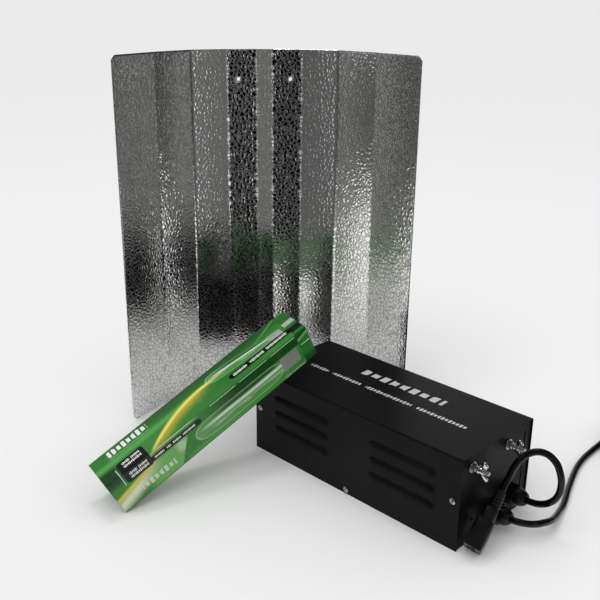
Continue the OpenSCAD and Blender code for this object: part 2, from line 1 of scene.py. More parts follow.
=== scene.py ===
# Looks of the grow lamp kit: a hammered wing reflector, a ballast box with two leads and a lamp in
# its carton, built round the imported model. Each piece is modelled in millimetres in its own unit's
# frame and turned into metres as it is placed. The camera, lights and floors are in metres.
import json
import math
from functools import reduce

import bmesh
import bpy
import numpy as np
from mathutils import Matrix, Vector


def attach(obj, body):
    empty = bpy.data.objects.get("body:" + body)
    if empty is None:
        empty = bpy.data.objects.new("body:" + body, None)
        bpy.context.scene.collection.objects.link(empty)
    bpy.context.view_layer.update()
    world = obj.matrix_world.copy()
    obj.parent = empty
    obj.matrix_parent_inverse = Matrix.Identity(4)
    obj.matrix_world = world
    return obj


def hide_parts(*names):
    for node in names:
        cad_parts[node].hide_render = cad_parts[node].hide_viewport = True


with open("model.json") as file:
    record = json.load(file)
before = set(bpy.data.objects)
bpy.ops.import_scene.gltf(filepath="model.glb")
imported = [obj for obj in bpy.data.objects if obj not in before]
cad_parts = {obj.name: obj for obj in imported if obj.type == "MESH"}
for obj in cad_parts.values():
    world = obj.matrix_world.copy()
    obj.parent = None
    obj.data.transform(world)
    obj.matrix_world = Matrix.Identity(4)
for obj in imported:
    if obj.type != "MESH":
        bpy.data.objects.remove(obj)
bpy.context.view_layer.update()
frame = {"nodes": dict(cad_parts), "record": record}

scene = bpy.context.scene
MM = 0.001
SEED = 7
IN_PLACE = Matrix.Identity(4)
# surfaces meeting at more than this, in degrees, show an edge
PIECE_SMOOTH, CARVED_SMOOTH = 35, 30


# ---- frames, as the CAD model has them

def move(x, y, z):
    return Matrix.Translation((x, y, z))


def turn(x, y, z):
    """OpenSCAD's rotate([x, y, z]), in degrees."""
    rx, ry, rz = (Matrix.Rotation(math.radians(a), 4, axis)
                  for a, axis in ((x, "X"), (y, "Y"), (z, "Z")))
    return rz @ ry @ rx


ALONG_X = turn(0, 90, 0)

box_l, box_w, box_h = 325, 141, 114
cord_d = 8
carton_w, sleeve_l, board_t, tray_out = 51, 287, 0.8, 18
carton_reach, carton_along, carton_swing = 216, -152, -10
carton_slope = math.degrees(math.atan((box_h + 0.3) / carton_reach))
tray_inset = board_t + 0.3
tray_w = carton_w - 2 * tray_inset
lamp_d, lamp_l, cap_l, cap_r, neck_r = 46, 257, 38, 19, 17.5
glass_l = lamp_l - cap_l - 7

ON_BALLAST = move(101.6, -55.2, 0) @ turn(0, 0, -50)
AT_PANEL = ON_BALLAST @ move(box_l / 2, -box_w / 2, 0)
AT_CONNECTOR = AT_PANEL @ move(18, 3, 12) @ turn(20, -42, 92)
AT_PLUG = AT_PANEL @ move(98, 292, 18.5) @ turn(0, 0, 90)
AT_CARTON = (ON_BALLAST @ move(carton_along, -box_w / 2 - carton_reach, 0) @ turn(0, 0, 90)
             @ turn(0, -carton_slope, 0) @ turn(0, 0, carton_swing))
AT_TRAY = AT_CARTON @ move(tray_out, tray_inset, tray_inset)
TRAY_LYING = AT_TRAY @ move(0, 0, tray_w) @ turn(-90, 0, 0)    # its open side at the back
ON_LAMP_AXIS = AT_TRAY @ move(12, tray_w / 2, tray_w / 2) @ ALONG_X
GLANDS = [AT_PANEL @ move(0, s, z) @ ALONG_X for s, z in ((99, 33), (68, 22))]
STUDS = [AT_PANEL @ move(0, s, 98) @ ALONG_X for s in (21, 92)]


def in_row(at, point):
    """A point of a unit's own frame, in metres in the row frame."""
    return at @ Vector(point) * MM


def placed(at):
    """A frame in millimetres as a Blender matrix in metres."""
    return Matrix.Translation(at.translation * MM) @ at.to_3x3().to_4x4()


# ---- materials

def rgb(code):
    """A hex colour as linear RGBA."""
    channels = [int(code[i:i + 2], 16) / 255 for i in (1, 3, 5)]
    return tuple(c / 12.92 if c < 0.04 else ((c + 0.055) / 1.055) ** 2.4 for c in channels) + (1,)


def feed(tree, socket, value):
    """Links a value or another node's output to an input, or sets the input itself."""
    if isinstance(value, Value):
        value = value.socket
    if isinstance(value, bpy.types.NodeSocket):
        tree.links.new(value, socket)
    else:
        socket.default_value = value


def add_node(tree, kind, sockets=(), **settings):
    """A new shader node with these settings; sockets are its inputs by name or number."""
    node = tree.nodes.new("ShaderNode" + kind)
    for key, value in settings.items():
        setattr(node, key, value)
    for key, value in dict(sockets).items():
        feed(tree, node.inputs[key], value)
    return node


def operation(name):
    """A method for one of Blender's math operations."""
    return lambda value, *others: value.math(name, *others)


class Value:
    """A number that varies over a surface, which Python's operators build on."""

    __add__, __sub__, __mul__ = map(operation, ("ADD", "SUBTRACT", "MULTIPLY"))
    __truediv__, __abs__, power = map(operation, ("DIVIDE", "ABSOLUTE", "POWER"))
    over, under, most = map(operation, ("GREATER_THAN", "LESS_THAN", "MAXIMUM"))

    def __init__(self, tree, socket):
        self.tree, self.socket = tree, socket

    def math(self, name, *others, clamp=False):
        node = add_node(self.tree, "Math", enumerate((self,) + others), operation=name,
                        use_clamp=clamp)
        return Value(self.tree, node.outputs[0])

    def __neg__(self):
        return self * -1

    def opposite(self):
        """1 minus this number, kept from 0 to 1."""
        return self.math("MULTIPLY_ADD", -1, 1, clamp=True)

    def ease(self, low, high):
        """0 below low, 1 above high, smooth between; low may be the larger."""
        flip = low > high
        node = add_node(self.tree, "MapRange", {
            "Value": self, "From Min": min(low, high), "From Max": max(low, high),
            "To Min": float(flip), "To Max": float(not flip)}, interpolation_type="SMOOTHSTEP")
        return Value(self.tree, node.outputs["Result"])

    def spread(self, low, high):
        """This number's 0 to 1 as low to high."""
        return self.math("MULTIPLY_ADD", high - low, low)


class Look:
    """A procedural material, with coordinates in millimetres in the piece's own frame, or in at."""

    def __init__(self, name, base=None, at=IN_PLACE, **sockets):
        self.name = name
        self.material = bpy.data.materials.new(name)
        self.material.use_nodes = True
        self.tree = self.material.node_tree
        self.shader = self.tree.nodes["Principled BSDF"]
        self.relief = None
        if base:
            self.drive("Base Color", rgb(base))
            self.material.diffuse_color = rgb(base)
        for key, value in sockets.items():
            self.drive(key.replace("_", " "), value)
        self.place = add_node(self.tree, "Mapping", {
            "Vector": add_node(self.tree, "TexCoord").outputs["Object"],
            "Location": at.translation * MM, "Rotation": at.to_euler(),
            "Scale": (MM, MM, MM)}, vector_type="TEXTURE").outputs["Vector"]

    def axes(self):
        split = add_node(self.tree, "SeparateXYZ", {0: self.place})
        return [Value(self.tree, output) for output in split.outputs]

    def stretched(self, *factors):
        """The coordinates, each stretched by its own factor."""
        return add_node(self.tree, "VectorMath", {0: self.place, 1: factors},
                        operation="MULTIPLY").outputs["Vector"]

    def texture(self, kind, output, place=None, sockets=(), **settings):
        node = add_node(self.tree, kind, {"Vector": place or self.place, **dict(sockets)},
                        **settings)
        return Value(self.tree, node.outputs[output])

    def noise(self, size, detail=2, place=None):
        """Soft noise from 0 to 1, whose lumps are about size across."""
        return self.texture("TexNoise", "Fac", place, {"Scale": 1 / size, "Detail": detail})

    def cells(self, size):
        """Distance to the nearest border between many irregular cells, about size across."""
        return self.texture("TexVoronoi", "Distance", sockets={"Scale": 1 / size},
                            feature="DISTANCE_TO_EDGE")

    def wave(self, size, direction="X"):
        """Even stripes from 0 to 1, about size apart."""
        return self.texture("TexWave", "Fac", sockets={"Scale": 1 / (size * math.pi)},
                            bands_direction=direction)

    def mix(self, amount, below, above):
        """A colour from below to above; each is a hex code or a socket."""
        below, above = (rgb(c) if isinstance(c, str) else c for c in (below, above))
        return add_node(self.tree, "Mix", {"Factor": amount, 6: below, 7: above},
                        data_type="RGBA").outputs[2]

    def coated(self, colour, *coats):
        """A colour with coats of (amount, colour) over it, the last on top."""
        for amount, tint in coats:
            colour = self.mix(amount, colour, tint)
        return colour

    def drive(self, socket, value):
        feed(self.tree, self.shader.inputs[socket], value)
        return self

    def paint(self, amount, dark, light, *coats):
        """Colours it from dark to light, with coats of (amount, colour) over that."""
        return self.drive("Base Color", self.coated(self.mix(amount, dark, light), *coats))

    def dull(self, amount, least, most):
        """Roughness from least to most."""
        return self.drive("Roughness", amount.spread(least, most))

    def bump(self, height, depth):
        """Adds relief, depth being the millimetres that a height of 1 stands out."""
        sockets = {"Strength": 1, "Distance": depth * MM, "Height": height}
        if self.relief:
            sockets["Normal"] = self.relief
        self.relief = add_node(self.tree, "Bump", sockets).outputs["Normal"]
        return self.drive("Normal", self.relief)


def marks(look, x, y, words, row, pitch):
    """1 on a printed row of plain upright dashes, 0 off it. Words are the (left, right) stretches
    with dashes, row is the row's middle and height, and pitch the dashes' spacing."""
    middle, height = row
    reach = look.wave(pitch * 2.63).ease(0.3, 0.7).spread(0.36, 0.5) * height
    inside = (reach - abs(y - middle)).ease(-0.15, 0.15) * look.wave(pitch).ease(0.2, 0.34)
    return inside * reduce(Value.most, [
        abs(x - (left + right) / 2).ease((right - left) / 2, (right - left) / 2 - 0.3)
        for left, right in words])


def drifting(name, dark, light, gloss, drift=18, grain=0.8, relief=0.01, **sockets):
    """A look whose colour drifts between two and whose gloss varies, with a fine grain in relief.
    gloss is (least, most) roughness, drift and grain are sizes, and relief is the grain's depth."""
    look = Look(name, dark, **sockets)
    patches, speckle = look.noise(drift, 4), look.noise(grain, 2)
    look.paint(patches.ease(0.35, 0.65), dark, light)
    return look.dull(patches * 0.6 + speckle * 0.4, *gloss).bump(speckle, relief)


def look_black_coat():
    """Satin black powder coat with its fine orange peel, dust on it, and the top's plain print."""
    look = Look("black_coat", at=ON_BALLAST, Specular_IOR_Level=0.11)
    x, y, z = look.axes()
    peel, grain, patches = look.noise(1.6, 2), look.noise(0.45, 1), look.noise(60, 4)
    dust = (look.noise(7, 6) * look.noise(0.9, 1)).ease(0.36, 0.52)
    line = marks(look, x, y, [(-123, -91), (-84, -36), (-28, 44), (52, 123)], (-7.5, 6.5), 5.2)
    emblem = marks(look, x, y, [(-59, 69)], (25, 14), 15.6)
    print_mask = z.over(box_h - 0.4) * line.most(emblem)
    look.paint(patches.ease(0.3, 0.7), "#090a0a", "#0e100f", (dust * 0.12, "#3c3e3d"),
               (print_mask * (grain * 0.3).spread(0.8, 1), "#c9cccb"))
    look.dull(peel * 0.4 + patches * 0.6, 0.34, 0.5)
    return look.bump(peel, 0.035).bump(grain, 0.008)


def look_hammered():
    """Bright rolled aluminium with pebbled embossing, which the folding has flattened in places."""
    look = Look("hammered_aluminium", Metallic=1.0)
    aside = abs(look.axes()[0])
    depth = (aside.ease(10.5, 12.5) * 0.4 + aside.ease(50.5, 52) * -0.3
             + aside.ease(99.5, 101) * 0.5 + 0.6)
    border, fine, haze = look.cells(5.4), look.noise(1.3, 2), look.noise(40, 4)
    shaded_valleys = border.ease(0.15, 0.04)
    # painted shade: the colour darkens in the valleys between the pebbles, standing in for the shade
    # on their slopes; the valleys are also rougher
    look.paint(haze * 0.15 + shaded_valleys * 0.55, "#fafaf8", "#989896")
    look.dull(shaded_valleys * 0.85 + haze * 0.15, 0.04, 0.24)
    return look.bump(border.ease(0, 0.42) * depth, 0.085).bump(fine * depth, 0.01)


def look_zinc():
    """Bright zinc plate with faint yellow and blue in it."""
    look = Look("bright_zinc", Metallic=1.0)
    patches, crystals = look.noise(3, 3), look.noise(0.35, 2)
    look.paint(patches.ease(0.35, 0.65), "#c9cdd2", "#b9b6a8")
    return look.dull(patches * 0.5 + crystals * 0.5, 0.2, 0.36).bump(crystals, 0.006)


def look_wound_wire():
    """Enamelled copper laid turn by turn."""
    look = Look("enamelled_copper", Metallic=0.85, Coat_Weight=0.5, at=ON_BALLAST)
    turns = look.wave(1.6, "Z")
    look.paint(look.noise(9, 3), "#7a3514", "#a4562a")
    return look.dull(turns, 0.4, 0.28).bump(turns, 0.4)


def look_laminations():
    """Stacked steel sheets, edge on, with a little varnish and rust."""
    look = Look("lamination_steel", Metallic=0.7, at=ON_BALLAST)
    rust = look.noise(11, 5).ease(0.52, 0.7)
    return look.paint(rust, "#4b4f55", "#6b4a35").dull(rust, 0.42, 0.7).bump(look.wave(1.0), 0.2)


def look_green_wire():
    """Green insulation with a yellow stripe along it."""
    look = Look("earth_wire")
    look.paint(look.wave(4, "DIAGONAL").ease(0.55, 0.65), "#2f7d32", "#d8c431")
    return look.dull(look.noise(2, 2), 0.35, 0.5).bump(look.noise(0.7, 2), 0.02)


def look_cord():
    """Glossy black PVC, slightly uneven from the extruder."""
    look = Look("cord_jacket", Specular_IOR_Level=0.3)
    swell, fine = look.noise(14, 2), look.noise(0.7, 2)
    look.paint(swell, "#030304", "#070708").dull(swell * 0.5 + fine * 0.5, 0.14, 0.26)
    return look.bump(swell, 0.12).bump(fine, 0.006)


def look_strap():
    """Woven hook-and-loop strap."""
    look = Look("tie_strap", Sheen_Weight=0.4)
    weave, fuzz = look.wave(1.0) * look.wave(1.0, "Z"), look.noise(0.5, 3)
    look.paint(weave * 0.6 + fuzz * 0.4, "#17181a", "#3a3b3f").dull(fuzz, 0.8, 0.95)
    return look.bump(weave, 0.2).bump(fuzz, 0.1)


def look_board(name, dark, light):
    """Plain grey or brown board with its fibres."""
    look = Look(name, dark)
    fibres = look.noise(1.4, 5, look.stretched(0.25, 1, 1))
    specks = look.noise(0.5, 2).ease(0.62, 0.72)
    look.paint(fibres.ease(0.3, 0.7) + specks * 0.3, dark, light)
    return look.dull(fibres, 0.75, 0.95).bump(fibres, 0.05)


def look_glass(name, tint):
    """Clear glass with faint drawing streaks."""
    look = Look(name, tint, Roughness=0.03, Transmission_Weight=1.0, IOR=1.47)
    streaks = look.noise(6, 3, look.stretched(1, 1, 0.2))
    return look.dull(streaks, 0.01, 0.05).bump(streaks, 0.03)


# ---- materials: the carton's print

def around_card(look):
    """Coordinates on the unrolled sleeve: along it, and across from the top face's far edge."""
    x, y, z = look.axes()
    top = z.over(carton_w - 1.8)
    bottom = z.under(1.8)
    front = y.under(1.8) * (top + bottom).opposite()
    back = (top + bottom + front).opposite()
    across = (top * (-y + carton_w) + bottom * y + front * (-z + 2 * carton_w)
              + back * (z + carton_w))
    return x, across


def rounded_patch(x, y, middle, half, corner, soft=0.3):
    """1 inside a rounded rectangle, 0 outside."""
    dx = (abs(x - middle[0]) - (half[0] - corner)).most(0)
    dy = (abs(y - middle[1]) - (half[1] - corner)).most(0)
    return ((dx * dx + dy * dy).power(0.5) - corner).ease(soft, -soft)


def streak(x, y, bend, before, after, start, end, fade):
    """A band of light along y = bend(x), reaching before and after it, fading out at both ends."""
    off = y - bend(x)
    across = off.ease(-before, 0) * off.ease(after, 0)
    return across * x.ease(start, start + fade) * x.ease(end, end - fade)


def pictured_lamp(look, colour, x, y, tip, foot, half, taper, cap_tint):
    """A printed lamp lying along the card: outlined glass, its glows, and a ringed cap."""
    (x0, y0), (x1, y1) = tip, foot
    middle, reach = (x0 + x1) / 2, (x1 - x0) / 2
    half = ((x - x0) / (x1 - x0) * (taper - 1) + 1) * half
    tilted = (y - ((x - x0) * ((y1 - y0) / (x1 - x0)) + y0)) / half
    body = (abs(x - middle) / reach).power(7) + tilted * tilted
    inside = body.ease(1.04, 0.93)
    grit = look.noise(5, 3, look.stretched(0.12, 1, 1))
    glow = abs(tilted + 0.22).ease(0.3, 0.02) * (x - middle).ease(-reach, -0.45 * reach) * inside
    shade = tilted.ease(-0.35, -0.6) * (x - middle).ease(-0.7 * reach, -0.2 * reach) * inside
    low = abs(tilted - 0.3).ease(0.3, 0) * inside * grit.ease(0.45, 0.6) * inside
    cap = rounded_patch(x, tilted * 10, (x1 + 0.16 * reach, -0.5), (0.2 * reach, 8.2), 1.5)
    rings = look.wave(2.3).ease(0.2, 0.8) * 0.6 + grit * 0.4
    return look.coated(
        colour, (inside * 0.25, "#7fb06e"), (shade * 0.8, "#16351a"), (low * 0.6, "#b9c9b0"),
        (inside * body.ease(0.6, 1.0) * 0.5, "#a9cf9c"), (glow * (grit * 0.5 + 0.5), "#dfe9dd"),
        (cap * 0.95, look.mix(rings, "#4d4f4c", cap_tint)))


def card_colours(look, x, y):
    """The card's green ground with its light streaks."""
    def climb(u):
        return ((u * -1 + 167) / 105).most(0).power(2.2) * 36 + 19

    def ray(slope, middle, *rest):
        return streak(x, y, lambda u: u * slope + middle, *rest)
    sheen = look.noise(55, 3, look.stretched(0.35, 1, 1))
    leaf = (x + y * 0.7 - 157).ease(1, -1) * y.ease(66, 70) * x.ease(30, 62)
    return look.coated(
        look.mix(sheen.ease(0.3, 0.7), "#2a6f28", "#3b8035"),
        (y.ease(20, 2) * x.ease(-40, 120) * 0.75, "#26422a"),
        (x.ease(30, 16) * abs(y - 46).ease(22, 10), "#0f3a18"),
        (y.ease(92, 99) * x.ease(70, 130) * 0.8, "#4b9a3e"),
        (abs(y - 61.5).ease(7.5, 5) * x.ease(120, 190) * 0.9, "#123c14"),
        (ray(-0.01, 23.5, 7, 9, -60, 185, 60) * 0.75, "#57a354"),
        (ray(-0.34, 100, 1.5, 3, 225, 330, 40) * 0.6, "#67a860"),
        (leaf * 0.6, "#7cb565"),
        (abs(x - 98).ease(12, 2) * abs(y - 75).ease(13, 3) * leaf * 0.8, "#a7c7a2"),
        (ray(-0.3, 92, 14, 16, -60, 75, 50), "#d0d6b8"),
        (ray(-0.2, 81, 5, 6, -60, 70, 25), "#c9bc50"),
        (streak(x, y, climb, 6, 20, 50, 176, 45), "#b3a42f"),
        (streak(x, y, climb, 3.6, 5, 48, 205, 40), "#e3db6a"),
        (ray(0, 54, 2.5, 2.5, 55, 135, 20) * 0.8, "#b3d19a"))


def look_printed_card():
    """Glossy print: green with gold streaks, two pictured lamps, plain label patches and marks."""
    look = Look("printed_card", Coat_Weight=0.18, Coat_Roughness=0.15, Specular_IOR_Level=0.25)
    x, y = around_card(look)
    colour = card_colours(look, x, y)
    colour = pictured_lamp(look, colour, x, y, (167, 16.5), (264, 27), 9.6, 0.72, "#c9cfc4")
    colour = pictured_lamp(look, colour, x, y, (116, 81), (257, 81), 13.6, 1, "#a3a69f")
    black = reduce(Value.most, [rounded_patch(x, y, *patch) for patch in (
        ((41, 50), (18.7, 19.2), 4), ((94, 62.7), (38.5, 4.2), 4), ((241, 38.5), (50, 4.8), 4.6))])
    white = reduce(Value.most, [marks(look, x, y, *row) for row in (
        ([(29, 40), (42, 54)], (36.2, 4.4), 2.2), ([(29, 54)], (42.5, 4.4), 2.2),
        ([(29, 40), (42, 54)], (57.8, 4.4), 2.2), ([(29, 54)], (63.7, 4.4), 2.2),
        ([(63, 77), (80, 87), (90, 102), (105, 124)], (62.8, 3.6), 2.4),
        ([(197, 219), (223, 246), (250, 283)], (38.3, 5), 2.8), ([(23, 80)], (9, 10), 7.2))])
    pale = reduce(Value.most, [marks(look, x, y, *row) * strength for row, strength in (
        (([(32, 82)], (88, 9), 7.2), 0.65),
        (([(150, 190), (196, 240), (246, 284)], (54.6, 1.1), 2.2), 1),
        (([(252, 262), (265, 284)], (99.4, 2.2), 2.2), 0.7), (([(23, 79)], (17, 1), 1.9), 0.5))])
    stem = abs(x - 19).ease(0.9, 0.3) * abs(y - 53).ease(17, 14) * 0.7
    scuff = (look.noise(3, 5) * look.noise(30, 2)).ease(0.34, 0.5)
    look.paint(black, colour, "#060707", (white * 0.9, "#e6ebe5"), (pale.most(stem), "#cfe0cb"),
               (scuff * 0.12, "#dfe5dc"))
    look.dull(scuff, 0.28, 0.5)
    return look.bump(look.noise(9, 3), 0.12).bump(look.noise(0.8, 3), 0.006)


def look_tray_card():
    """The tray's print: it goes on from the sleeve's at the end that shows."""
    look = Look("tray_card", Coat_Weight=0.18, Coat_Roughness=0.15, Specular_IOR_Level=0.25)
    x, down, y = look.axes()
    z = -down + tray_w
    on_top = z.over(tray_w - 1)
    on_front = on_top.opposite()
    glint = abs(z + x * -0.3 - 39 + (sleeve_l - 9) * 0.3).ease(3, 1) * on_front
    dashes = marks(look, x, z, [(sleeve_l - 15, sleeve_l)], (28, 1.5), 2.2) * on_front
    look.paint(look.noise(30, 3).ease(0.3, 0.7), "#1f6f28", "#2f7f38",
               (z.ease(16, 4) * 0.8, "#12401a"), (abs(z - 44).ease(6, 3), "#1a4a1e"),
               (abs(y - 26).ease(5, 3) * on_top * 0.8, "#b3bfae"), (glint * 0.7, "#7fae72"),
               (dashes, "#e0f2da"), (abs(y - 10.5).ease(5.8, 5.2) * on_top, "#080909"))
    return look.dull(look.noise(4, 3), 0.28, 0.42).bump(look.noise(9, 3), 0.1)


LOOKS = {look.name: look for look in (
    look_black_coat(), look_hammered(), look_zinc(), look_laminations(), look_wound_wire(),
    look_green_wire(), look_cord(), look_strap(), look_printed_card(), look_tray_card(),
    look_board("brown_card", "#a98457", "#c4a377"), look_board("grey_card", "#c9c5ba", "#dedad0"),
    look_glass("lamp_glass", "#f7fbff"), look_glass("stem_glass", "#eef6f0"),
    drifting("chrome", "#e3e5e8", "#cfd2d6", (0.05, 0.13), grain=0.6, relief=0.003, Metallic=1.0),
    drifting("black_nylon", "#050506", "#0b0b0c", (0.2, 0.36), relief=0.02,
             Specular_IOR_Level=0.35),
    drifting("seal_rubber", "#202022", "#2b2b2d", (0.7, 0.85), relief=0.03),
    drifting("can_aluminium", "#c6c9cc", "#aeb1b5", (0.3, 0.45), Metallic=1.0),
    drifting("white_plastic", "#e9e8e2", "#d9d7cd", (0.35, 0.5), relief=0.02),
    drifting("brass", "#c9a24a", "#a9853a", (0.22, 0.38), drift=4, Metallic=1.0),
    drifting("brown_wire", "#5a2d16", "#6d3a1e", (0.35, 0.5)),
    drifting("blue_wire", "#1f4fa0", "#2b62b8", (0.35, 0.5)),
    drifting("plug_rubber", "#060607", "#0d0d0e", (0.26, 0.42), grain=1.1, relief=0.03,
             Specular_IOR_Level=0.32),
    drifting("nickel_pins", "#d2cfc6", "#bcb8ad", (0.14, 0.28), drift=5, Metallic=1.0),
    drifting("arc_ceramic", "#f1efe8", "#e2dfd4", (0.35, 0.5), drift=8, Subsurface_Weight=0.3),
    drifting("lamp_wire", "#9a9ca0", "#85878b", (0.25, 0.4), drift=6, Metallic=1.0),
    drifting("cap_brass", "#cfcabb", "#b9b29d", (0.18, 0.34), drift=7, grain=0.5, Metallic=1.0),
    drifting("cap_vitrite", "#140e1d", "#241a33", (0.08, 0.2), relief=0.02))}


def dress_cad_nodes():
    """Gives every CAD node its slot's look, whether or not a piece stands for it."""
    for row in frame["record"]["subparts"]:
        node = frame["nodes"][row["node"]]
        look = LOOKS[row["material_slot"]].material
        if not node.material_slots:
            node.data.materials.append(look)
        for slot in node.material_slots:
            slot.material = look


dress_cad_nodes()


# ---- meshes

def angles(steps):
    return [2 * math.pi * k / steps for k in range(steps)]


def circle(r, steps):
    return [(r * math.cos(a), r * math.sin(a)) for a in angles(steps)]


def lifted(*sections):
    """Rings of (x, y, z) points from pairs of an outline and its height."""
    return [[(x, y, z) for x, y in outline] for outline, z in sections]


class Shape:
    """Closed shells gathered into one mesh, in millimetres in the piece's own frame."""

    def __init__(self):
        self.points, self.faces = [], []

    def rings(self, rings, at=IN_PLACE, closed=False):
        """A skin over rings of as many points each, capped at both ends or closed into a loop."""
        n, count, start = len(rings[0]), len(rings), len(self.points)
        faces = []
        for i in range(count if closed else count - 1):
            a, b = i * n, (i + 1) % count * n
            faces += [(a + k, a + (k + 1) % n, b + (k + 1) % n, b + k) for k in range(n)]
        if not closed:
            faces += [tuple(range(n - 1, -1, -1)), tuple(range((count - 1) * n, count * n))]
        self.points += [at @ Vector(point) for ring in rings for point in ring]
        self.faces += [[start + i for i in face] for face in faces]
        return self

    def lathe(self, profile, at=IN_PLACE, closed=False, steps=48, flute=None):
        """Turned about Z from (radius, height) pairs; flute(angle, height) scales the radius."""
        flute = flute or (lambda angle, height: 1)
        return self.rings([[(r * flute(a, z) * math.cos(a), r * flute(a, z) * math.sin(a), z)
                            for a in angles(steps)] for r, z in profile], at, closed)

    def prism(self, outline, low, high, at=IN_PLACE):
        return self.rings(lifted((outline, low), (outline, high)), at)

    def box(self, low, high):
        return self.prism([(low[0], low[1]), (high[0], low[1]), (high[0], high[1]),
                           (low[0], high[1])], low[2], high[2])

    def plate(self, outline, hole_r, low, high, at=IN_PLACE):
        """A plate with a round hole in its middle; the outline is a function of the angle."""
        outer, inner = [outline(a) for a in angles(72)], circle(hole_r, 72)
        return self.rings(lifted((outer, low), (outer, high), (inner, high), (inner, low)), at,
                          closed=True)


def polygon_outline(sides, across_flats):
    """A regular polygon's rim as a function of the angle."""
    def rim(a):
        sector = 2 * math.pi / sides
        off = (a + sector / 2) % sector - sector / 2
        r = across_flats / 2 / math.cos(off)
        return r * math.cos(a), r * math.sin(a)
    return rim


def arc(centre, r, start, end, steps):
    """Points on an arc, in degrees."""
    turned = [math.radians(start + (end - start) * i / steps) for i in range(steps + 1)]
    return [(centre[0] + r * math.cos(a), centre[1] + r * math.sin(a)) for a in turned]


def rounded_outline(w, h, r, per_side=1, steps=5):
    """A rounded rectangle about the origin; per_side cuts each straight side into that many."""
    rims = [arc((side * (w / 2 - r), end * (h / 2 - r)), r, start, start + 90, steps)
            for side, end, start in ((1, 1, 0), (-1, 1, 90), (-1, -1, 180), (1, -1, 270))]
    points = []
    for rim, following in zip(rims, rims[1:] + rims[:1]):
        (x, y), (u, v) = rim[-1], following[0]
        points += rim + [(x + (u - x) * k / per_side, y + (v - y) * k / per_side)
                         for k in range(1, per_side)]
    return points


def thread(r, depth, pitch, low, high, steps=24, per_turn=6, core=0):
    """Rings of a round-topped helical thread; with core, a closed tube of that inner radius."""
    count = max(2, int((high - low) / pitch * per_turn))
    rings = []
    for i in range(count + 1):
        z = low + (high - low) * i / count
        ends = max(min(1, (z - low) / pitch, (high - z) / pitch), 0)
        ring = []
        for a in angles(steps):
            swing = 0.5 + 0.5 * math.cos(2 * math.pi * z / pitch - a)
            here = r - depth * (1 - swing * ends)
            ring.append((here * math.cos(a), here * math.sin(a), z))
        rings.append(ring)
    if core:
        rings += lifted((circle(core, steps), high), (circle(core, steps), low))
    return rings


def add_object(name, data, material=None):
    """A new object in the scene."""
    obj = bpy.data.objects.new(name, data)
    scene.collection.objects.link(obj)
    if material:
        data.materials.append(material)
    return obj


def make_mesh(name, points, faces, mend):
    """A smooth mesh from points in metres, after mend has worked on it as a bmesh."""
    mesh = bpy.data.meshes.new(name)
    mesh.from_pydata(points, [], faces)
    work = bmesh.new()
    work.from_mesh(mesh)
    mend(work)
    work.to_mesh(mesh)
    work.free()
    mesh.shade_smooth()
    return mesh


def solid_mesh(name, shape, smooth):
    mesh = make_mesh(name, [tuple(p * MM) for p in shape.points], shape.faces,
                     lambda work: bmesh.ops.recalc_face_normals(work, faces=work.faces))
    mesh.set_sharp_from_angle(angle=math.radians(smooth))
    return mesh


def carve(obj, cutters):
    """Cuts a shape's shells out of an object's mesh for good."""
    cutter = add_object("cutter", solid_mesh("cutter", cutters, CARVED_SMOOTH))
    cut = obj.modifiers.new("cut", "BOOLEAN")
    cut.object = cutter
    cut.solver = "EXACT"
    keep = bpy.data.meshes.new_from_object(
        obj.evaluated_get(bpy.context.evaluated_depsgraph_get()))
    obj.modifiers.clear()
    obj.data = keep
    bpy.data.objects.remove(cutter)
    keep.shade_smooth()
    keep.set_sharp_from_angle(angle=math.radians(CARVED_SMOOTH))


def hand_over(obj, nodes, body):
    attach(obj, body)
    if nodes:
        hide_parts(*nodes)
    return obj


def add_piece(name, shape, slot, nodes=(), at=IN_PLACE, body="ballast", bevel=0,
              smooth=PIECE_SMOOTH, look=None, cut=None):
    """One piece, its mesh in its own frame and its look its slot's unless look names another."""
    obj = add_object(name, solid_mesh(name, shape, smooth))
    if cut:
        carve(obj, cut)
    obj.data.materials.clear()
    obj.data.materials.append(LOOKS[look or slot].material)
    if bevel:
        edges = obj.modifiers.new("edges", "BEVEL")
        edges.width = bevel * MM
        edges.segments = 3
        edges.limit_method = "ANGLE"
        edges.angle_limit = math.radians(PIECE_SMOOTH)
        edges.harden_normals = True
    obj.matrix_world = placed(at)
    return hand_over(obj, nodes, body)


# ---- camera and studio

CAMERA_AT = (-0.0930, -1.0037, 0.5825)
CAMERA_HEADING, CAMERA_TILT, CAMERA_ROLL = 5.16, 19.94, 0.57296    # degrees right, down, over
CAMERA_LENS, CAMERA_SENSOR = 51.74, 36
(TABLE_WEST, TABLE_SOUTH), (TABLE_EAST, TABLE_NORTH) = (-1.2, -0.36), (1.2, 1.6)
ROOM = 80.0
FLOOR_LOOK = Look("pale_floor", Base_Color=(0.86, 0.86, 0.862, 1), Roughness=0.9,
                  Specular_IOR_Level=0.0)
SUN_POWER, SUN_WIDTH, SUN_TURN = 0.85, 50, (28, -22, 0)
# name, place, size and power of each softbox, and what it points at, in metres and watts
SOFTBOXES = [
    ("top_box", (-0.2, 0.2, 2.4), (0.6, 0.3), 5, (0, 0, 0)),
    ("left_box", (-1.9, -0.5, 1.1), (0.5, 1.4), 1, (0, 0.1, 0.2)),
    ("right_strip", (1.5, -1.5, 1.1), (0.1, 0.9), 2, (0.2, -0.2, 0.05))]
EVEN_LIGHT = 0.74
SEEN_ROOM = (0.857, 0.857, 0.86, 1)
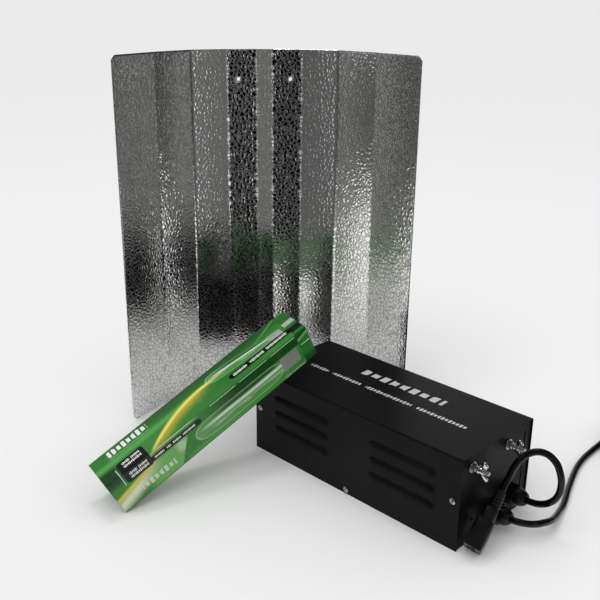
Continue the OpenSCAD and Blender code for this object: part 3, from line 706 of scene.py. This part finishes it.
# bearing from the front, in degrees, and brightness of the room that metal mirrors
MIRRORED_BANDS = [
    (-180, 0.85), (-130, 0.38), (-108, 0.16), (-96, 0.24), (-86, 0.08), (-74, 0.10), (-60, 0.05),
    (-44, 0.11), (-24, 0.09), (-20.5, 0.60), (-18.6, 0.60), (-17.6, 0.002), (-6, 0.002),
    (-4.5, 0.75), (-2.5, 0.75), (-0.8, 0.12), (6, 0.12), (8, 0.70), (10.4, 0.70), (11.6, 0.002),
    (23, 0.002), (24.2, 0.90), (26.6, 0.90), (28.5, 0.12), (44, 0.11), (60, 0.04), (72, 0.06),
    (80, 0.01), (90, 0.07), (100, 0.01), (130, 0.10), (180, 0.85)]


def add_camera():
    camera = add_object("camera", bpy.data.cameras.new("camera"))
    camera.matrix_world = (move(*CAMERA_AT) @ turn(90 - CAMERA_TILT, 0, -CAMERA_HEADING)
                           @ turn(0, 0, CAMERA_ROLL))
    camera.data.lens = CAMERA_LENS
    camera.data.sensor_width = CAMERA_SENSOR
    camera.data.clip_start = 0.05
    camera.data.clip_end = 300
    scene.camera = camera


def add_floor(name, west, south, east, north, in_reflections=False):
    """A pale flat floor."""
    mesh = bpy.data.meshes.new(name)
    mesh.from_pydata([(west, south, 0), (east, south, 0), (east, north, 0), (west, north, 0)],
                     [], [(0, 1, 2, 3)])
    floor = add_object(name, mesh, FLOOR_LOOK.material)
    floor.visible_glossy = in_reflections


def add_studio():
    add_floor("table_floor", TABLE_WEST, TABLE_SOUTH, TABLE_EAST, TABLE_NORTH, True)
    add_floor("front_floor", -ROOM, -ROOM, ROOM, TABLE_SOUTH)
    add_floor("left_floor", -ROOM, TABLE_SOUTH, TABLE_WEST, ROOM)
    add_floor("right_floor", TABLE_EAST, TABLE_SOUTH, ROOM, ROOM)
    add_floor("back_floor", TABLE_WEST, TABLE_NORTH, TABLE_EAST, ROOM)
    sun = bpy.data.lights.new("soft_sun", "SUN")
    sun.energy = SUN_POWER
    sun.angle = math.radians(SUN_WIDTH)
    lamp = add_object("soft_sun", sun)
    lamp.rotation_euler = [math.radians(a) for a in SUN_TURN]
    lamp.visible_glossy = False
    for name, place, size, power, aim in SOFTBOXES:
        light = bpy.data.lights.new(name, "AREA")
        light.shape = "RECTANGLE"
        light.size, light.size_y = size
        light.energy = power
        box = add_object(name, light)
        box.location = place
        box.rotation_euler = (Vector(aim) - Vector(place)).to_track_quat("-Z", "Y").to_euler()


def add_world():
    """Even pale light, seen dark with a few pale bands where metal mirrors it."""
    world = bpy.data.worlds.new("studio")
    scene.world = world
    world.use_nodes = True
    world.cycles.sampling_method = "NONE"    # so that metal sees only the bands
    tree = world.node_tree
    even = tree.nodes["Background"]
    even.inputs["Color"].default_value = (1, 1, 1, 1)
    even.inputs["Strength"].default_value = EVEN_LIGHT
    seen = add_node(tree, "Background", {"Color": SEEN_ROOM})
    toward = add_node(tree, "TexCoord").outputs["Generated"]
    x, y, _ = (Value(tree, axis) for axis in add_node(tree, "SeparateXYZ", {0: toward}).outputs)
    round_trip = x.math("ARCTAN2", -y).math("MULTIPLY_ADD", 1 / (2 * math.pi), 0.5)
    bands = add_node(tree, "ValToRGB", {"Fac": round_trip})
    bands.color_ramp.interpolation = "EASE"
    stops = bands.color_ramp.elements
    for degrees, _ in MIRRORED_BANDS[1:-1]:
        stops.new(degrees / 360 + 0.5)
    for stop, (_, level) in zip(stops, MIRRORED_BANDS):
        stop.color = (level, level, level, 1)
    mirrored = add_node(tree, "Background", {"Color": bands.outputs["Color"]})
    ray = add_node(tree, "LightPath").outputs
    lit = add_node(tree, "MixShader", {"Fac": ray["Is Glossy Ray"], 1: even.outputs[0],
                                       2: mirrored.outputs[0]})
    shown = add_node(tree, "MixShader", {"Fac": ray["Is Camera Ray"], 1: lit.outputs[0],
                                         2: seen.outputs[0]})
    feed(tree, tree.nodes["World Output"].inputs["Surface"], shown.outputs[0])


scene.view_settings.view_transform = "Standard"
add_camera()
add_studio()
add_world()


# ---- leads

LAMP_LEAD_ROUTE = [
    (1, 99, 33), (14, 99, 33), (28, 99, 33), (42, 99, 36), (54, 99, 44), (62, 98, 56),
    (65, 97, 71), (63, 95, 87), (56, 92, 101), (45, 87, 108), (34, 81, 106), (26, 75, 98),
    (21, 70, 87), (18.5, 66, 76), (17, 61, 67), (16.5, 57, 60)]
MAINS_LEAD_ROUTE = [
    (1, 68, 22), (13, 68, 22), (27, 68, 22), (39, 72, 22), (48, 81, 21), (52, 93, 19),
    (53, 105, 16), (51, 118, 12), (48, 131, 9), (44, 145, 6), (40, 160, 4), (34, 178, 4),
    (27, 196, 4), (20, 216, 4), (13, 237, 4), (7, 258, 4), (3, 280, 4), (1, 305, 4), (0, 330, 4),
    (0, 353, 5)]
TAIL_ROUTE = [(96, 350, 21), (97, 335, 20), (98, 322, 19)]
COIL_AT = (48, 375)
# (radius, height) of the coil's turns in the order they are wound, the last one half as long again
COIL_TURNS = [(48, 5), (40, 5), (40, 13), (48, 13), (48, 21)]
TURN_POINTS = 24
LAST_QUARTER = 0.25


def coil_points():
    """Round the coil, from where the lead comes in to where its tail goes out."""
    points = []
    turns = COIL_TURNS + [COIL_TURNS[-1]]
    for i in range(1, int(TURN_POINTS * (len(COIL_TURNS) + 0.5)) + 1):
        done = i / TURN_POINTS
        here = min(int(done), len(turns) - 1)
        # the step to the next turn's place is made over the last quarter of each turn
        share = min(max((done - here - 1 + LAST_QUARTER) / LAST_QUARTER, 0), 1)
        share = share * share * (3 - 2 * share)
        after = turns[min(here + 1, len(turns) - 1)]
        r, z = (a + (b - a) * share for a, b in zip(turns[here], after))
        a = math.pi * (1 - 2 * done)
        points.append((COIL_AT[0] + r * math.cos(a), COIL_AT[1] + r * math.sin(a), z))
    return points


def add_lead(name, route, nodes):
    """A round lead on one smooth curve through a route's points, in the panel's frame."""
    curve = bpy.data.curves.new(name, "CURVE")
    curve.dimensions = "3D"
    curve.resolution_u = 4
    curve.bevel_depth = cord_d / 2 * MM
    curve.bevel_resolution = 6
    curve.use_fill_caps = True
    spline = curve.splines.new("BEZIER")
    spline.bezier_points.add(len(route) - 1)
    for knot, point in zip(spline.bezier_points, route):
        knot.co = in_row(AT_PANEL, point)
        knot.handle_left_type = knot.handle_right_type = "AUTO"
    lead = add_object(name, curve, LOOKS["cord_jacket"].material)
    return hand_over(lead, nodes, "ballast")


def ribbed_boot(r_foot, r_tip, length, ribs, first, pitch):
    """A strain relief: a taper with round ribs."""
    profile = [(r_foot * 0.93, 0)]
    for i in range(ribs):
        z = first + i * pitch
        r = r_foot + (r_tip - r_foot) * z / length
        profile += [(r, z - 0.25), (r * 1.09, z + 0.25), (r * 1.12, z + pitch * 0.27),
                    (r * 1.09, z + pitch * 0.5), (r * 0.93, z + pitch * 0.58),
                    (r * 0.92, z + pitch * 0.9)]
    profile += [(r_tip, length - 1), (r_tip - 0.7, length), (cord_d / 2 - 0.1, length)]
    return Shape().lathe(profile)


def add_lamp_connector():
    """The ballast's lamp plug: a grip with ridges, a narrower neck and a slotted face."""
    shape, slots = Shape(), Shape()
    for outline, sections in (
            (rounded_outline(20, 27, 3), [(0, 0.96), (0.8, 1), (33, 1), (34, 0.97)]),
            (rounded_outline(16, 19, 4), [(33.5, 1), (44, 1), (49, 0.9), (50, 0.82)])):
        shape.rings([[(x, a * k, b * k) for a, b in outline] for x, k in sections])
    for side in (-1, 1):
        for i in range(6):
            shape.box((8 + i * 3.6, side * 10 - 0.35, -8), (9.8 + i * 3.6, side * 10 + 0.35, 8))
    for side, y in ((-1, -3.5), (0, 1.5), (1, -3.5)):
        slots.box((-1, y, side * 7 - 1), (12, y + 4.5, side * 7 + 1))
    body = add_piece("lamp_connector_body", shape, "plug_rubber", ["lamp_connector"],
                     AT_CONNECTOR, bevel=0.25, cut=slots)
    return body, add_piece("lamp_connector_boot", ribbed_boot(7.4, 5.2, 22, 5, 2, 4),
                           "plug_rubber", ["connector_boot"],
                           AT_CONNECTOR @ move(50, 0, 0) @ ALONG_X)


def add_mains_plug():
    """A round two-pin plug with fluted grips, its boot and its pins."""
    profile = [(15.5, 0), (17.4, 0.5), (18.3, 2), (18.5, 5), (18.5, 21), (17.9, 24), (15.2, 28),
               (12, 33), (9.8, 36), (8.8, 38)]

    def grip(angle, height):
        return 1 - 0.018 * (0.5 + 0.5 * math.cos(24 * angle)) * (4 < height < 30)
    pin_holes, pins = Shape(), Shape()
    for side in (-1, 1):
        at = move(0, side * 9.5, 0)
        pin_holes.lathe([(2.5, -1), (2.5, 6)], at, steps=24)
        pins.lathe([(0.4, 0), (1.7, 0.4), (2.3, 1.2), (2.4, 2.2), (2.4, 24)], at, steps=24)
    plug = add_piece("mains_plug_body", Shape().lathe(profile, steps=96, flute=grip),
                     "plug_rubber", ["mains_plug"], AT_PLUG @ move(-38, 0, 0) @ ALONG_X,
                     cut=pin_holes)
    pin = add_piece("mains_plug_pins", pins, "nickel_pins", ["plug_pins"],
                    AT_PLUG @ move(-57, 0, 0) @ ALONG_X)
    boot = add_piece("mains_plug_boot", ribbed_boot(7.8, 5.2, 30, 6, 3, 4.3), "plug_rubber",
                     ["plug_boot"], AT_PLUG @ ALONG_X)
    return plug, pin, boot


def add_coil_tie():
    """A woven strap round all the turns, its tail lapped over its top."""
    wide, high, t = 19.5, 25.4, 1.0
    loop = rounded_outline(wide, high, 3, 3, 4)
    inner = rounded_outline(wide - 2 * t, high - 2 * t, 2, 3, 4)
    shape = Shape().rings([[(x, z + 13, y) for x, z in ring] for ring, y in
                           ((loop, -7), (loop, 7), (inner, 7), (inner, -7))], closed=True)
    tail = [(-7, 25.3), (2, 25.35), (7, 25.3), (9.6, 23.9), (10.2, 21), (10.4, 12), (10.9, 11.9),
            (10.9, 21), (10.4, 24.3), (7.6, 25.95), (2, 26), (-7, 25.8)]
    shape.prism(tail, -6.4, 6.4)
    at = AT_PANEL @ move(COIL_AT[0], COIL_AT[1] + 44, 0) @ turn(90, 0, 90)
    return add_piece("coil_tie_strap", shape, "tie_strap", ["coil_tie"], at, bevel=0.2)


lamp_lead = add_lead("lamp_lead_cord", LAMP_LEAD_ROUTE, ["lamp_lead"])
mains_lead = add_lead("mains_lead_cord", MAINS_LEAD_ROUTE + coil_points() + TAIL_ROUTE,
                      ["mains_lead", "mains_lead_coil"])
connector, connector_boot = add_lamp_connector()
plug, plug_pins, plug_boot = add_mains_plug()
tie = add_coil_tie()


# ---- fittings on the cord end

def add_glands():
    """Cable glands: hexagon bodies with threads, fluted domes and the seals in their mouths."""
    bodies, domes, seals = Shape(), Shape(), Shape()
    hexagon = polygon_outline(6, 22)
    dome = [(10.9, 12.4), (10.8, 14), (10.3, 17), (9.4, 20), (8.2, 22.6), (6.9, 24.4), (6.2, 25),
            (4.6, 25), (4.4, 24.3), (4.4, 22), (8.0, 15), (8.0, 12.4)]
    for at in GLANDS:
        bodies.plate(hexagon, 4.4, -1.5, 4.2, at)
        for low, high in ((-12, -1.4), (4.1, 16)):
            bodies.rings(thread(8, 0.5, 1.5, low, high, per_turn=8, core=4.4), at, closed=True)
        domes.plate(hexagon, 8.1, 4.5, 12.5, at)
        domes.lathe(dome, at, closed=True, steps=72,
                    flute=lambda a, z: 1 - 0.02 * (0.5 + 0.5 * math.cos(18 * a)) * (13 < z < 23))
        seals.lathe([(4.05, 16.5), (6.3, 16.5), (6.3, 21.5), (4.3, 23.6), (4.05, 23.6)], at,
                    closed=True)
    add_piece("gland_bodies", bodies, "black_nylon", ["cable_glands"], bevel=0.35)
    add_piece("gland_dome_nuts", domes, "black_nylon", ["gland_domes"], bevel=0.3)
    add_piece("gland_rubber_seals", seals, "seal_rubber", ["gland_seals"])


def add_studs():
    """Threaded studs with their washers and chamfered nuts."""
    studs, washers, nuts = Shape(), Shape(), Shape()
    hexagon = polygon_outline(6, 8)
    bore, full = circle(2.5, 72), [hexagon(a) for a in angles(72)]
    slim = [(x * 0.94, y * 0.94) for x, y in full]
    for at in STUDS:
        foot = at @ move(0, 0, -1.5)
        studs.rings(thread(2.5, 0.3, 0.8, -10, 21.5), foot)
        washers.lathe([(2.65, 0), (6.3, 0), (6.5, 0.2), (6.5, 1.0), (6.3, 1.2), (2.65, 1.2)], foot,
                      closed=True)
        for low, high in ((1.2, 4.7), (-5.5, -1.5)):
            nuts.rings(lifted((slim, low), (full, low + 0.5), (full, high - 0.5), (slim, high),
                              (bore, high), (bore, low)), foot, closed=True)
    add_piece("stud_threads", studs, "bright_zinc", ["mounting_studs"])
    add_piece("stud_flat_washers", washers, "bright_zinc", ["stud_washers"])
    add_piece("stud_hex_nuts", nuts, "bright_zinc", ["stud_nuts", "stud_inner_nuts"])


def add_wing_nut(name, stud, angle, node):
    """A cast wing nut: a waisted hub and two rounded ears."""
    shape = Shape().lathe([(2.55, 0), (4.6, 0), (4.8, 0.3), (4.8, 1.1), (4.4, 1.7), (4.1, 4),
                           (3.9, 6.6), (3.4, 7.4), (2.55, 7.5)], closed=True)
    ear = [(2.9, 0.9), (5.2, 1.2), (7.6, 2.6)] + arc((8.6, 8), 3.6, -55, 165, 14) \
        + [(4.5, 7.4), (2.9, 6.7)]
    outward = [(Vector(p) - Vector((6.6, 5.6))).normalized() for p in ear]
    for side in (-1, 1):
        shape.rings([[(side * (p[0] + (out * grow).x - 0.45), y, p[1] + (out * grow).y - 0.2)
                      for p, out in zip(ear, outward)]
                     for y, grow in ((-1.15, 0.0), (-0.75, 0.45), (0.75, 0.45), (1.15, 0.0))])
    at = AT_PANEL @ move(6.5, stud, 98) @ ALONG_X @ turn(0, 0, angle)
    add_piece(name, shape, "chrome", [node], at, node, smooth=50)


add_glands()
add_studs()
add_wing_nut("wing_nut_front_cast", 21, 5, "wing_nut_front")
add_wing_nut("wing_nut_back_cast", 92, 14, "wing_nut_back")


# ---- reflector

WING_H, WING_T, WING_CENTRE, WING_CHAMFER = 502, 0.8, 23, 6
WING_X, WING_FRONT = -34.4, 108.8    # where its middle stands across, and its foremost edges
# each facet's width and its angle to the middle one, outwards from the middle
WING_FACETS = [(40, 8), (51.5, 16), (62.5, 42), (76.5, 52)]
FOLDS = np.cumsum([WING_CENTRE / 2] + [width for width, _ in WING_FACETS[:-1]])
WING_REACH = WING_CENTRE / 2 + sum(width for width, _ in WING_FACETS)
HOLE_X, HOLE_Z, HOLE_R = 36, (40, 462), 2.5
GRID = 2.25
FOLD_R, FOLD_CALM = 1.5, 6     # the folds' half width, and how far from them the relief is whole
PEBBLE, PEBBLE_DEPTH, WARP = 5.6, 0.04, 0.15
CELLS, FIRST_CELL = 256, 64    # the jittered cells each way, and the one at the middle's foot


def fold_line(lengths):
    """Place and outward normal of the folded sheet's front at distances from its middle, folds
    rounded; the sheet's middle lies at y = 0 and its wings come forward."""
    turned = [0] + [angle for _, angle in WING_FACETS]
    fine = np.linspace(0, WING_REACH, 4001)
    heading = np.zeros_like(fine)
    for fold, before, after in zip(FOLDS, turned, turned[1:]):
        share = np.clip((fine - fold + FOLD_R) / (2 * FOLD_R), 0, 1)
        heading += np.radians(after - before) * share * share * (3 - 2 * share)
    step = fine[1] - fine[0]
    x = np.concatenate([[0], np.cumsum(np.cos(heading[:-1]) * step)])
    y = np.concatenate([[0], np.cumsum(-np.sin(heading[:-1]) * step)])
    side, reach = np.sign(lengths), np.abs(lengths)
    bend = np.interp(reach, fine, heading)
    return (side * np.interp(reach, fine, x), np.interp(reach, fine, y),
            -side * np.sin(bend), -np.cos(bend))


def pebbles(s, z):
    """0 to 1: rounded bumps over a jittered grid of cells."""
    jitter = np.random.default_rng(SEED).uniform(-0.38, 0.38, (CELLS, CELLS, 2))
    a, b = s / PEBBLE + FIRST_CELL, z / PEBBLE + FIRST_CELL
    row, column = np.floor(a).astype(int), np.floor(b).astype(int)
    nearest = np.full(s.shape, 9.0)
    for i in (-1, 0, 1):
        for j in (-1, 0, 1):
            u, v = row + i, column + j
            shift = jitter[u % CELLS, v % CELLS]
            d = (a - u - 0.5 - shift[..., 0]) ** 2 + (b - v - 0.5 - shift[..., 1]) ** 2
            nearest = np.minimum(nearest, d)
    return 1 - np.clip(nearest, 0, 1)


def add_reflector():
    """The folded sheet with its embossing in relief, its corners cut and its four holes."""
    columns, rows = int(2 * WING_REACH / GRID), int(WING_H / GRID)
    s = np.linspace(-WING_REACH, WING_REACH, columns + 1)
    x, y, nx, ny = fold_line(s)
    cut = np.clip(WING_CHAMFER - (WING_REACH - np.abs(s)), 0, None)[:, None]
    z = cut + (WING_H - 2 * cut) * np.linspace(0, 1, rows + 1)[None, :]
    across = np.repeat(s[:, None], rows + 1, axis=1)
    fold_gap = np.abs(np.abs(across)[..., None] - FOLDS).min(axis=-1)
    relief = PEBBLE_DEPTH * pebbles(across, z) * np.clip(fold_gap / FOLD_CALM, 0, 1)
    warp = WARP * np.sin(across / 37 + 1.3) * np.sin(z / 83 + across / 160)
    out = relief + warp * np.clip((WING_H - z) / WING_H, 0.2, 1)
    points = np.stack([x[:, None] + nx[:, None] * out, y[:, None] + ny[:, None] * out, z], -1)
    # the rim of each hole is drawn in to a circle
    hole_arc = np.interp(HOLE_X, x[s > 0], s[s > 0])
    slope = abs(np.interp(hole_arc, s, nx))
    open_faces = np.zeros((columns, rows), bool)
    for side in (-1, 1):
        for hole_z in HOLE_Z:
            ds, dz = across - side * hole_arc, z - hole_z
            away = np.hypot(ds, dz)
            middle = np.hypot((ds[:-1, :-1] + ds[1:, 1:]) / 2, (dz[:-1, :-1] + dz[1:, 1:]) / 2)
            hole = middle < HOLE_R
            open_faces |= hole
            rim = np.zeros_like(away, bool)
            for i, j in ((0, 0), (0, 1), (1, 0), (1, 1)):
                rim[i:columns + i, j:rows + j] |= hole
            pull = np.where(rim, HOLE_R / np.maximum(away, 0.01) - 1, 0)
            points[..., 0] += pull * ds * math.cos(math.asin(slope))
            points[..., 1] += pull * ds * side * -slope
            points[..., 2] += pull * dz
    index = np.arange((columns + 1) * (rows + 1)).reshape(columns + 1, rows + 1)
    corners = np.stack([index[:-1, :-1], index[:-1, 1:], index[1:, 1:], index[1:, :-1]], -1)
    mesh = make_mesh("reflector_wings", (points.reshape(-1, 3) * MM).tolist(),
                     corners[~open_faces].tolist(), lambda work: bmesh.ops.delete(
                         work, geom=[v for v in work.verts if not v.link_faces], context="VERTS"))
    sheet = add_object("reflector_wings", mesh, LOOKS["hammered_aluminium"].material)
    thick = sheet.modifiers.new("sheet", "SOLIDIFY")
    thick.thickness = WING_T * MM
    thick.offset = -1 if mesh.polygons[0].normal.y < 0 else 1
    thick.use_quality_normals = True
    sheet.matrix_world = placed(move(WING_X, WING_FRONT - y.min(), 0))
    hand_over(sheet, ["reflector_sheet"], "reflector")


add_reflector()


# ---- carton

SLEEVE_CUTS = 44
BOARD_WAVE, BOARD_SAG = 0.28, 0.45
SLEEVE_END = 12    # how near an end the faces' bow fades out


def add_sleeve():
    """The printed sleeve: a square tube of board with softly bowed faces and rounded creases."""
    half = carton_w / 2
    outer = rounded_outline(carton_w, carton_w, 0.9, 10, 4)
    inner = rounded_outline(carton_w - 2 * board_t, carton_w - 2 * board_t, 0.4, 10, 4)
    waves = np.random.default_rng(SEED).uniform(0, 2 * math.pi, (4, 3))

    def bowed(ring, x):
        points = []
        for a, b in ring:
            # how far along its face a point lies, -1 to 1, and which face it is on
            flat, face = (a, (0 if b > 0 else 1)) if abs(b) > abs(a) else (b, (2 if a > 0 else 3))
            t = flat / half
            wavy = BOARD_WAVE * (math.sin(x / 41 + waves[face][0])
                                 + 0.6 * math.sin(x / 17 + 2.1 * t + waves[face][1]))
            calm = min(1, x / SLEEVE_END, (sleeve_l - x) / SLEEVE_END)
            r = 1 + (wavy - BOARD_SAG) * (1 - t * t) * calm / half
            a, b = (a, b * r) if face < 2 else (a * r, b)
            points.append((x, a + half, b + half))
        return points
    places = [sleeve_l * i / SLEEVE_CUTS for i in range(SLEEVE_CUTS + 1)]
    rings = [bowed(outer, x) for x in places] + [bowed(inner, x) for x in reversed(places)]
    add_piece("carton_printed_sleeve", Shape().rings(rings, closed=True), "printed_card",
              ["carton_sleeve"], AT_CARTON, "carton", smooth=50)


def add_tray():
    """The tray of thin board: floor, sides and ends with rounded creases, open at the back."""
    w, t = tray_w - 0.1, board_t

    def oblong(inset, corner):
        outline = rounded_outline(sleeve_l - 2 * inset, w - 2 * inset, corner, 12, 4)
        return [(x + sleeve_l / 2, y + tray_w / 2) for x, y in outline]
    outer, inner, lining = oblong(0, 0.8), oblong(t, 0.3), oblong(t + 0.03, 0.3)
    board = Shape().rings(lifted((outer, 0.05), (outer, w - 0.2), (outer, w), (inner, w),
                                 (inner, w - 0.2), (inner, t)))
    add_piece("carton_lamp_tray", board, "tray_card", ["carton_tray"], TRAY_LYING, "tray",
              bevel=0.15)
    add_piece("tray_grey_lining", Shape().prism(lining, t + 0.03, t + 0.18), "tray_card",
              at=TRAY_LYING, body="tray", look="grey_card")
    collars = Shape()
    for z, hole_r in ((8, 19.3), (lamp_l - 22, cap_r + 2)):
        collars.plate(polygon_outline(4, tray_w - 2 * t - 0.5), hole_r, z, z + 2)
    add_lamp_piece("lamp_card_collars", collars, "brown_card", ["lamp_collars"], bevel=0.2)


# ---- lamp

SHOULDER_AT, SHOULDER_L, SHOULDER_STEPS = 26, 14, 8    # the first is before the glass's end


def add_lamp_piece(name, shape, slot, nodes, **more):
    add_piece(name, shape, slot, nodes, ON_LAMP_AXIS, "tray", **more)


def glass_profile(r, shoulder_r, reach):
    """The envelope from its tip to its neck, radius and height."""
    profile = [(r * math.sin(math.radians(a)), lamp_d / 2 - r * math.cos(math.radians(a)))
               for a in (0.6, 8, 18, 28, 38, 48, 58, 68, 78, 90)]
    for i in range(SHOULDER_STEPS + 1):
        t = i / SHOULDER_STEPS
        profile.append((r + (shoulder_r - r) * t * t * (3 - 2 * t),
                        glass_l - SHOULDER_AT + SHOULDER_L * t))
    return profile + [(shoulder_r, reach)]


def add_lamp():
    """The sodium lamp: glass, ceramic arc tube on its wires, stem, threaded cap and contact."""
    outer = glass_profile(lamp_d / 2, neck_r, glass_l)
    inner = glass_profile(lamp_d / 2 - 1, neck_r - 1, glass_l - 6)
    add_lamp_piece("lamp_outer_bulb", Shape().lathe(outer + inner[::-1], steps=96), "lamp_glass",
                   ["lamp_glass"], smooth=60)
    tube = Shape().lathe([(2, 56), (2, 61), (3.4, 61.6), (4.4, 62.4), (4.5, 64), (4.5, 156),
                          (4.4, 157.6), (3.4, 158.4), (2, 159), (2, 164)])
    add_lamp_piece("lamp_arc_tube", tube, "arc_ceramic", ["arc_tube"])
    wires = Shape().lathe([(0.4, 40), (1, 40.4), (1, 178)], move(12, 0, 0), steps=16)
    for z in (55, 165):
        wires.lathe([(0.8, 0), (0.8, 12)], move(0, 0, z) @ ALONG_X, steps=12)
        wires.lathe([(2.1, z - 1.2), (2.5, z - 1.2), (2.5, z + 1.2), (2.1, z + 1.2)], closed=True,
                    steps=24)
    wires.lathe([(11, 39), (13, 39), (13.2, 40), (13, 41), (11, 41), (10.8, 40)], closed=True)
    add_lamp_piece("lamp_frame_wires", wires, "lamp_wire", ["lamp_frame"])
    stem = Shape().lathe([(3.4, 170.4), (4.6, 171), (5, 180), (5.8, 192), (6, 200),
                          (6, glass_l - 6)])
    stem.prism(rounded_outline(18, 5, 2), 171, 178, move(0.5, 0, 0))
    add_lamp_piece("lamp_glass_stem", stem, "stem_glass", ["lamp_stem"])
    cap, neck, top = Shape(), move(0, 0, glass_l), glass_l + cap_l
    cap.rings(thread(cap_r + 0.35, 2.0, 6.35, 2, cap_l - 3, steps=72, per_turn=24,
                     core=cap_r - 2.6), neck, closed=True)
    cap.lathe([(17.8, 0), (18.3, 0.2), (18.3, 1.4), (17.6, 2.4), (16.5, 2.4), (16.5, 0)], neck,
              closed=True)
    cap.lathe([(16.4, 34.5), (17.5, 34.6), (17.3, 36), (15.5, 37.6), (14, 38), (13, 37.6)], neck,
              closed=True)
    add_lamp_piece("lamp_cap_shell", cap, "cap_brass", ["lamp_cap"], smooth=50)
    insulator = [(14, -0.6), (13.8, 0.6), (12.6, 2.4), (10.6, 4), (9, 5)]
    add_lamp_piece("lamp_cap_insulator", Shape().lathe(insulator, move(0, 0, top)), "cap_vitrite",
                   ["cap_insulator"])
    contact = [(7, 0), (6.8, 0.8), (5.6, 1.5), (4, 1.9), (0.5, 2)]
    add_lamp_piece("lamp_cap_contact", Shape().lathe(contact, move(0, 0, top + 5)), "nickel_pins",
                   ["cap_contact"])


add_sleeve()
add_tray()
add_lamp()


# ---- end

bpy.context.view_layer.update()
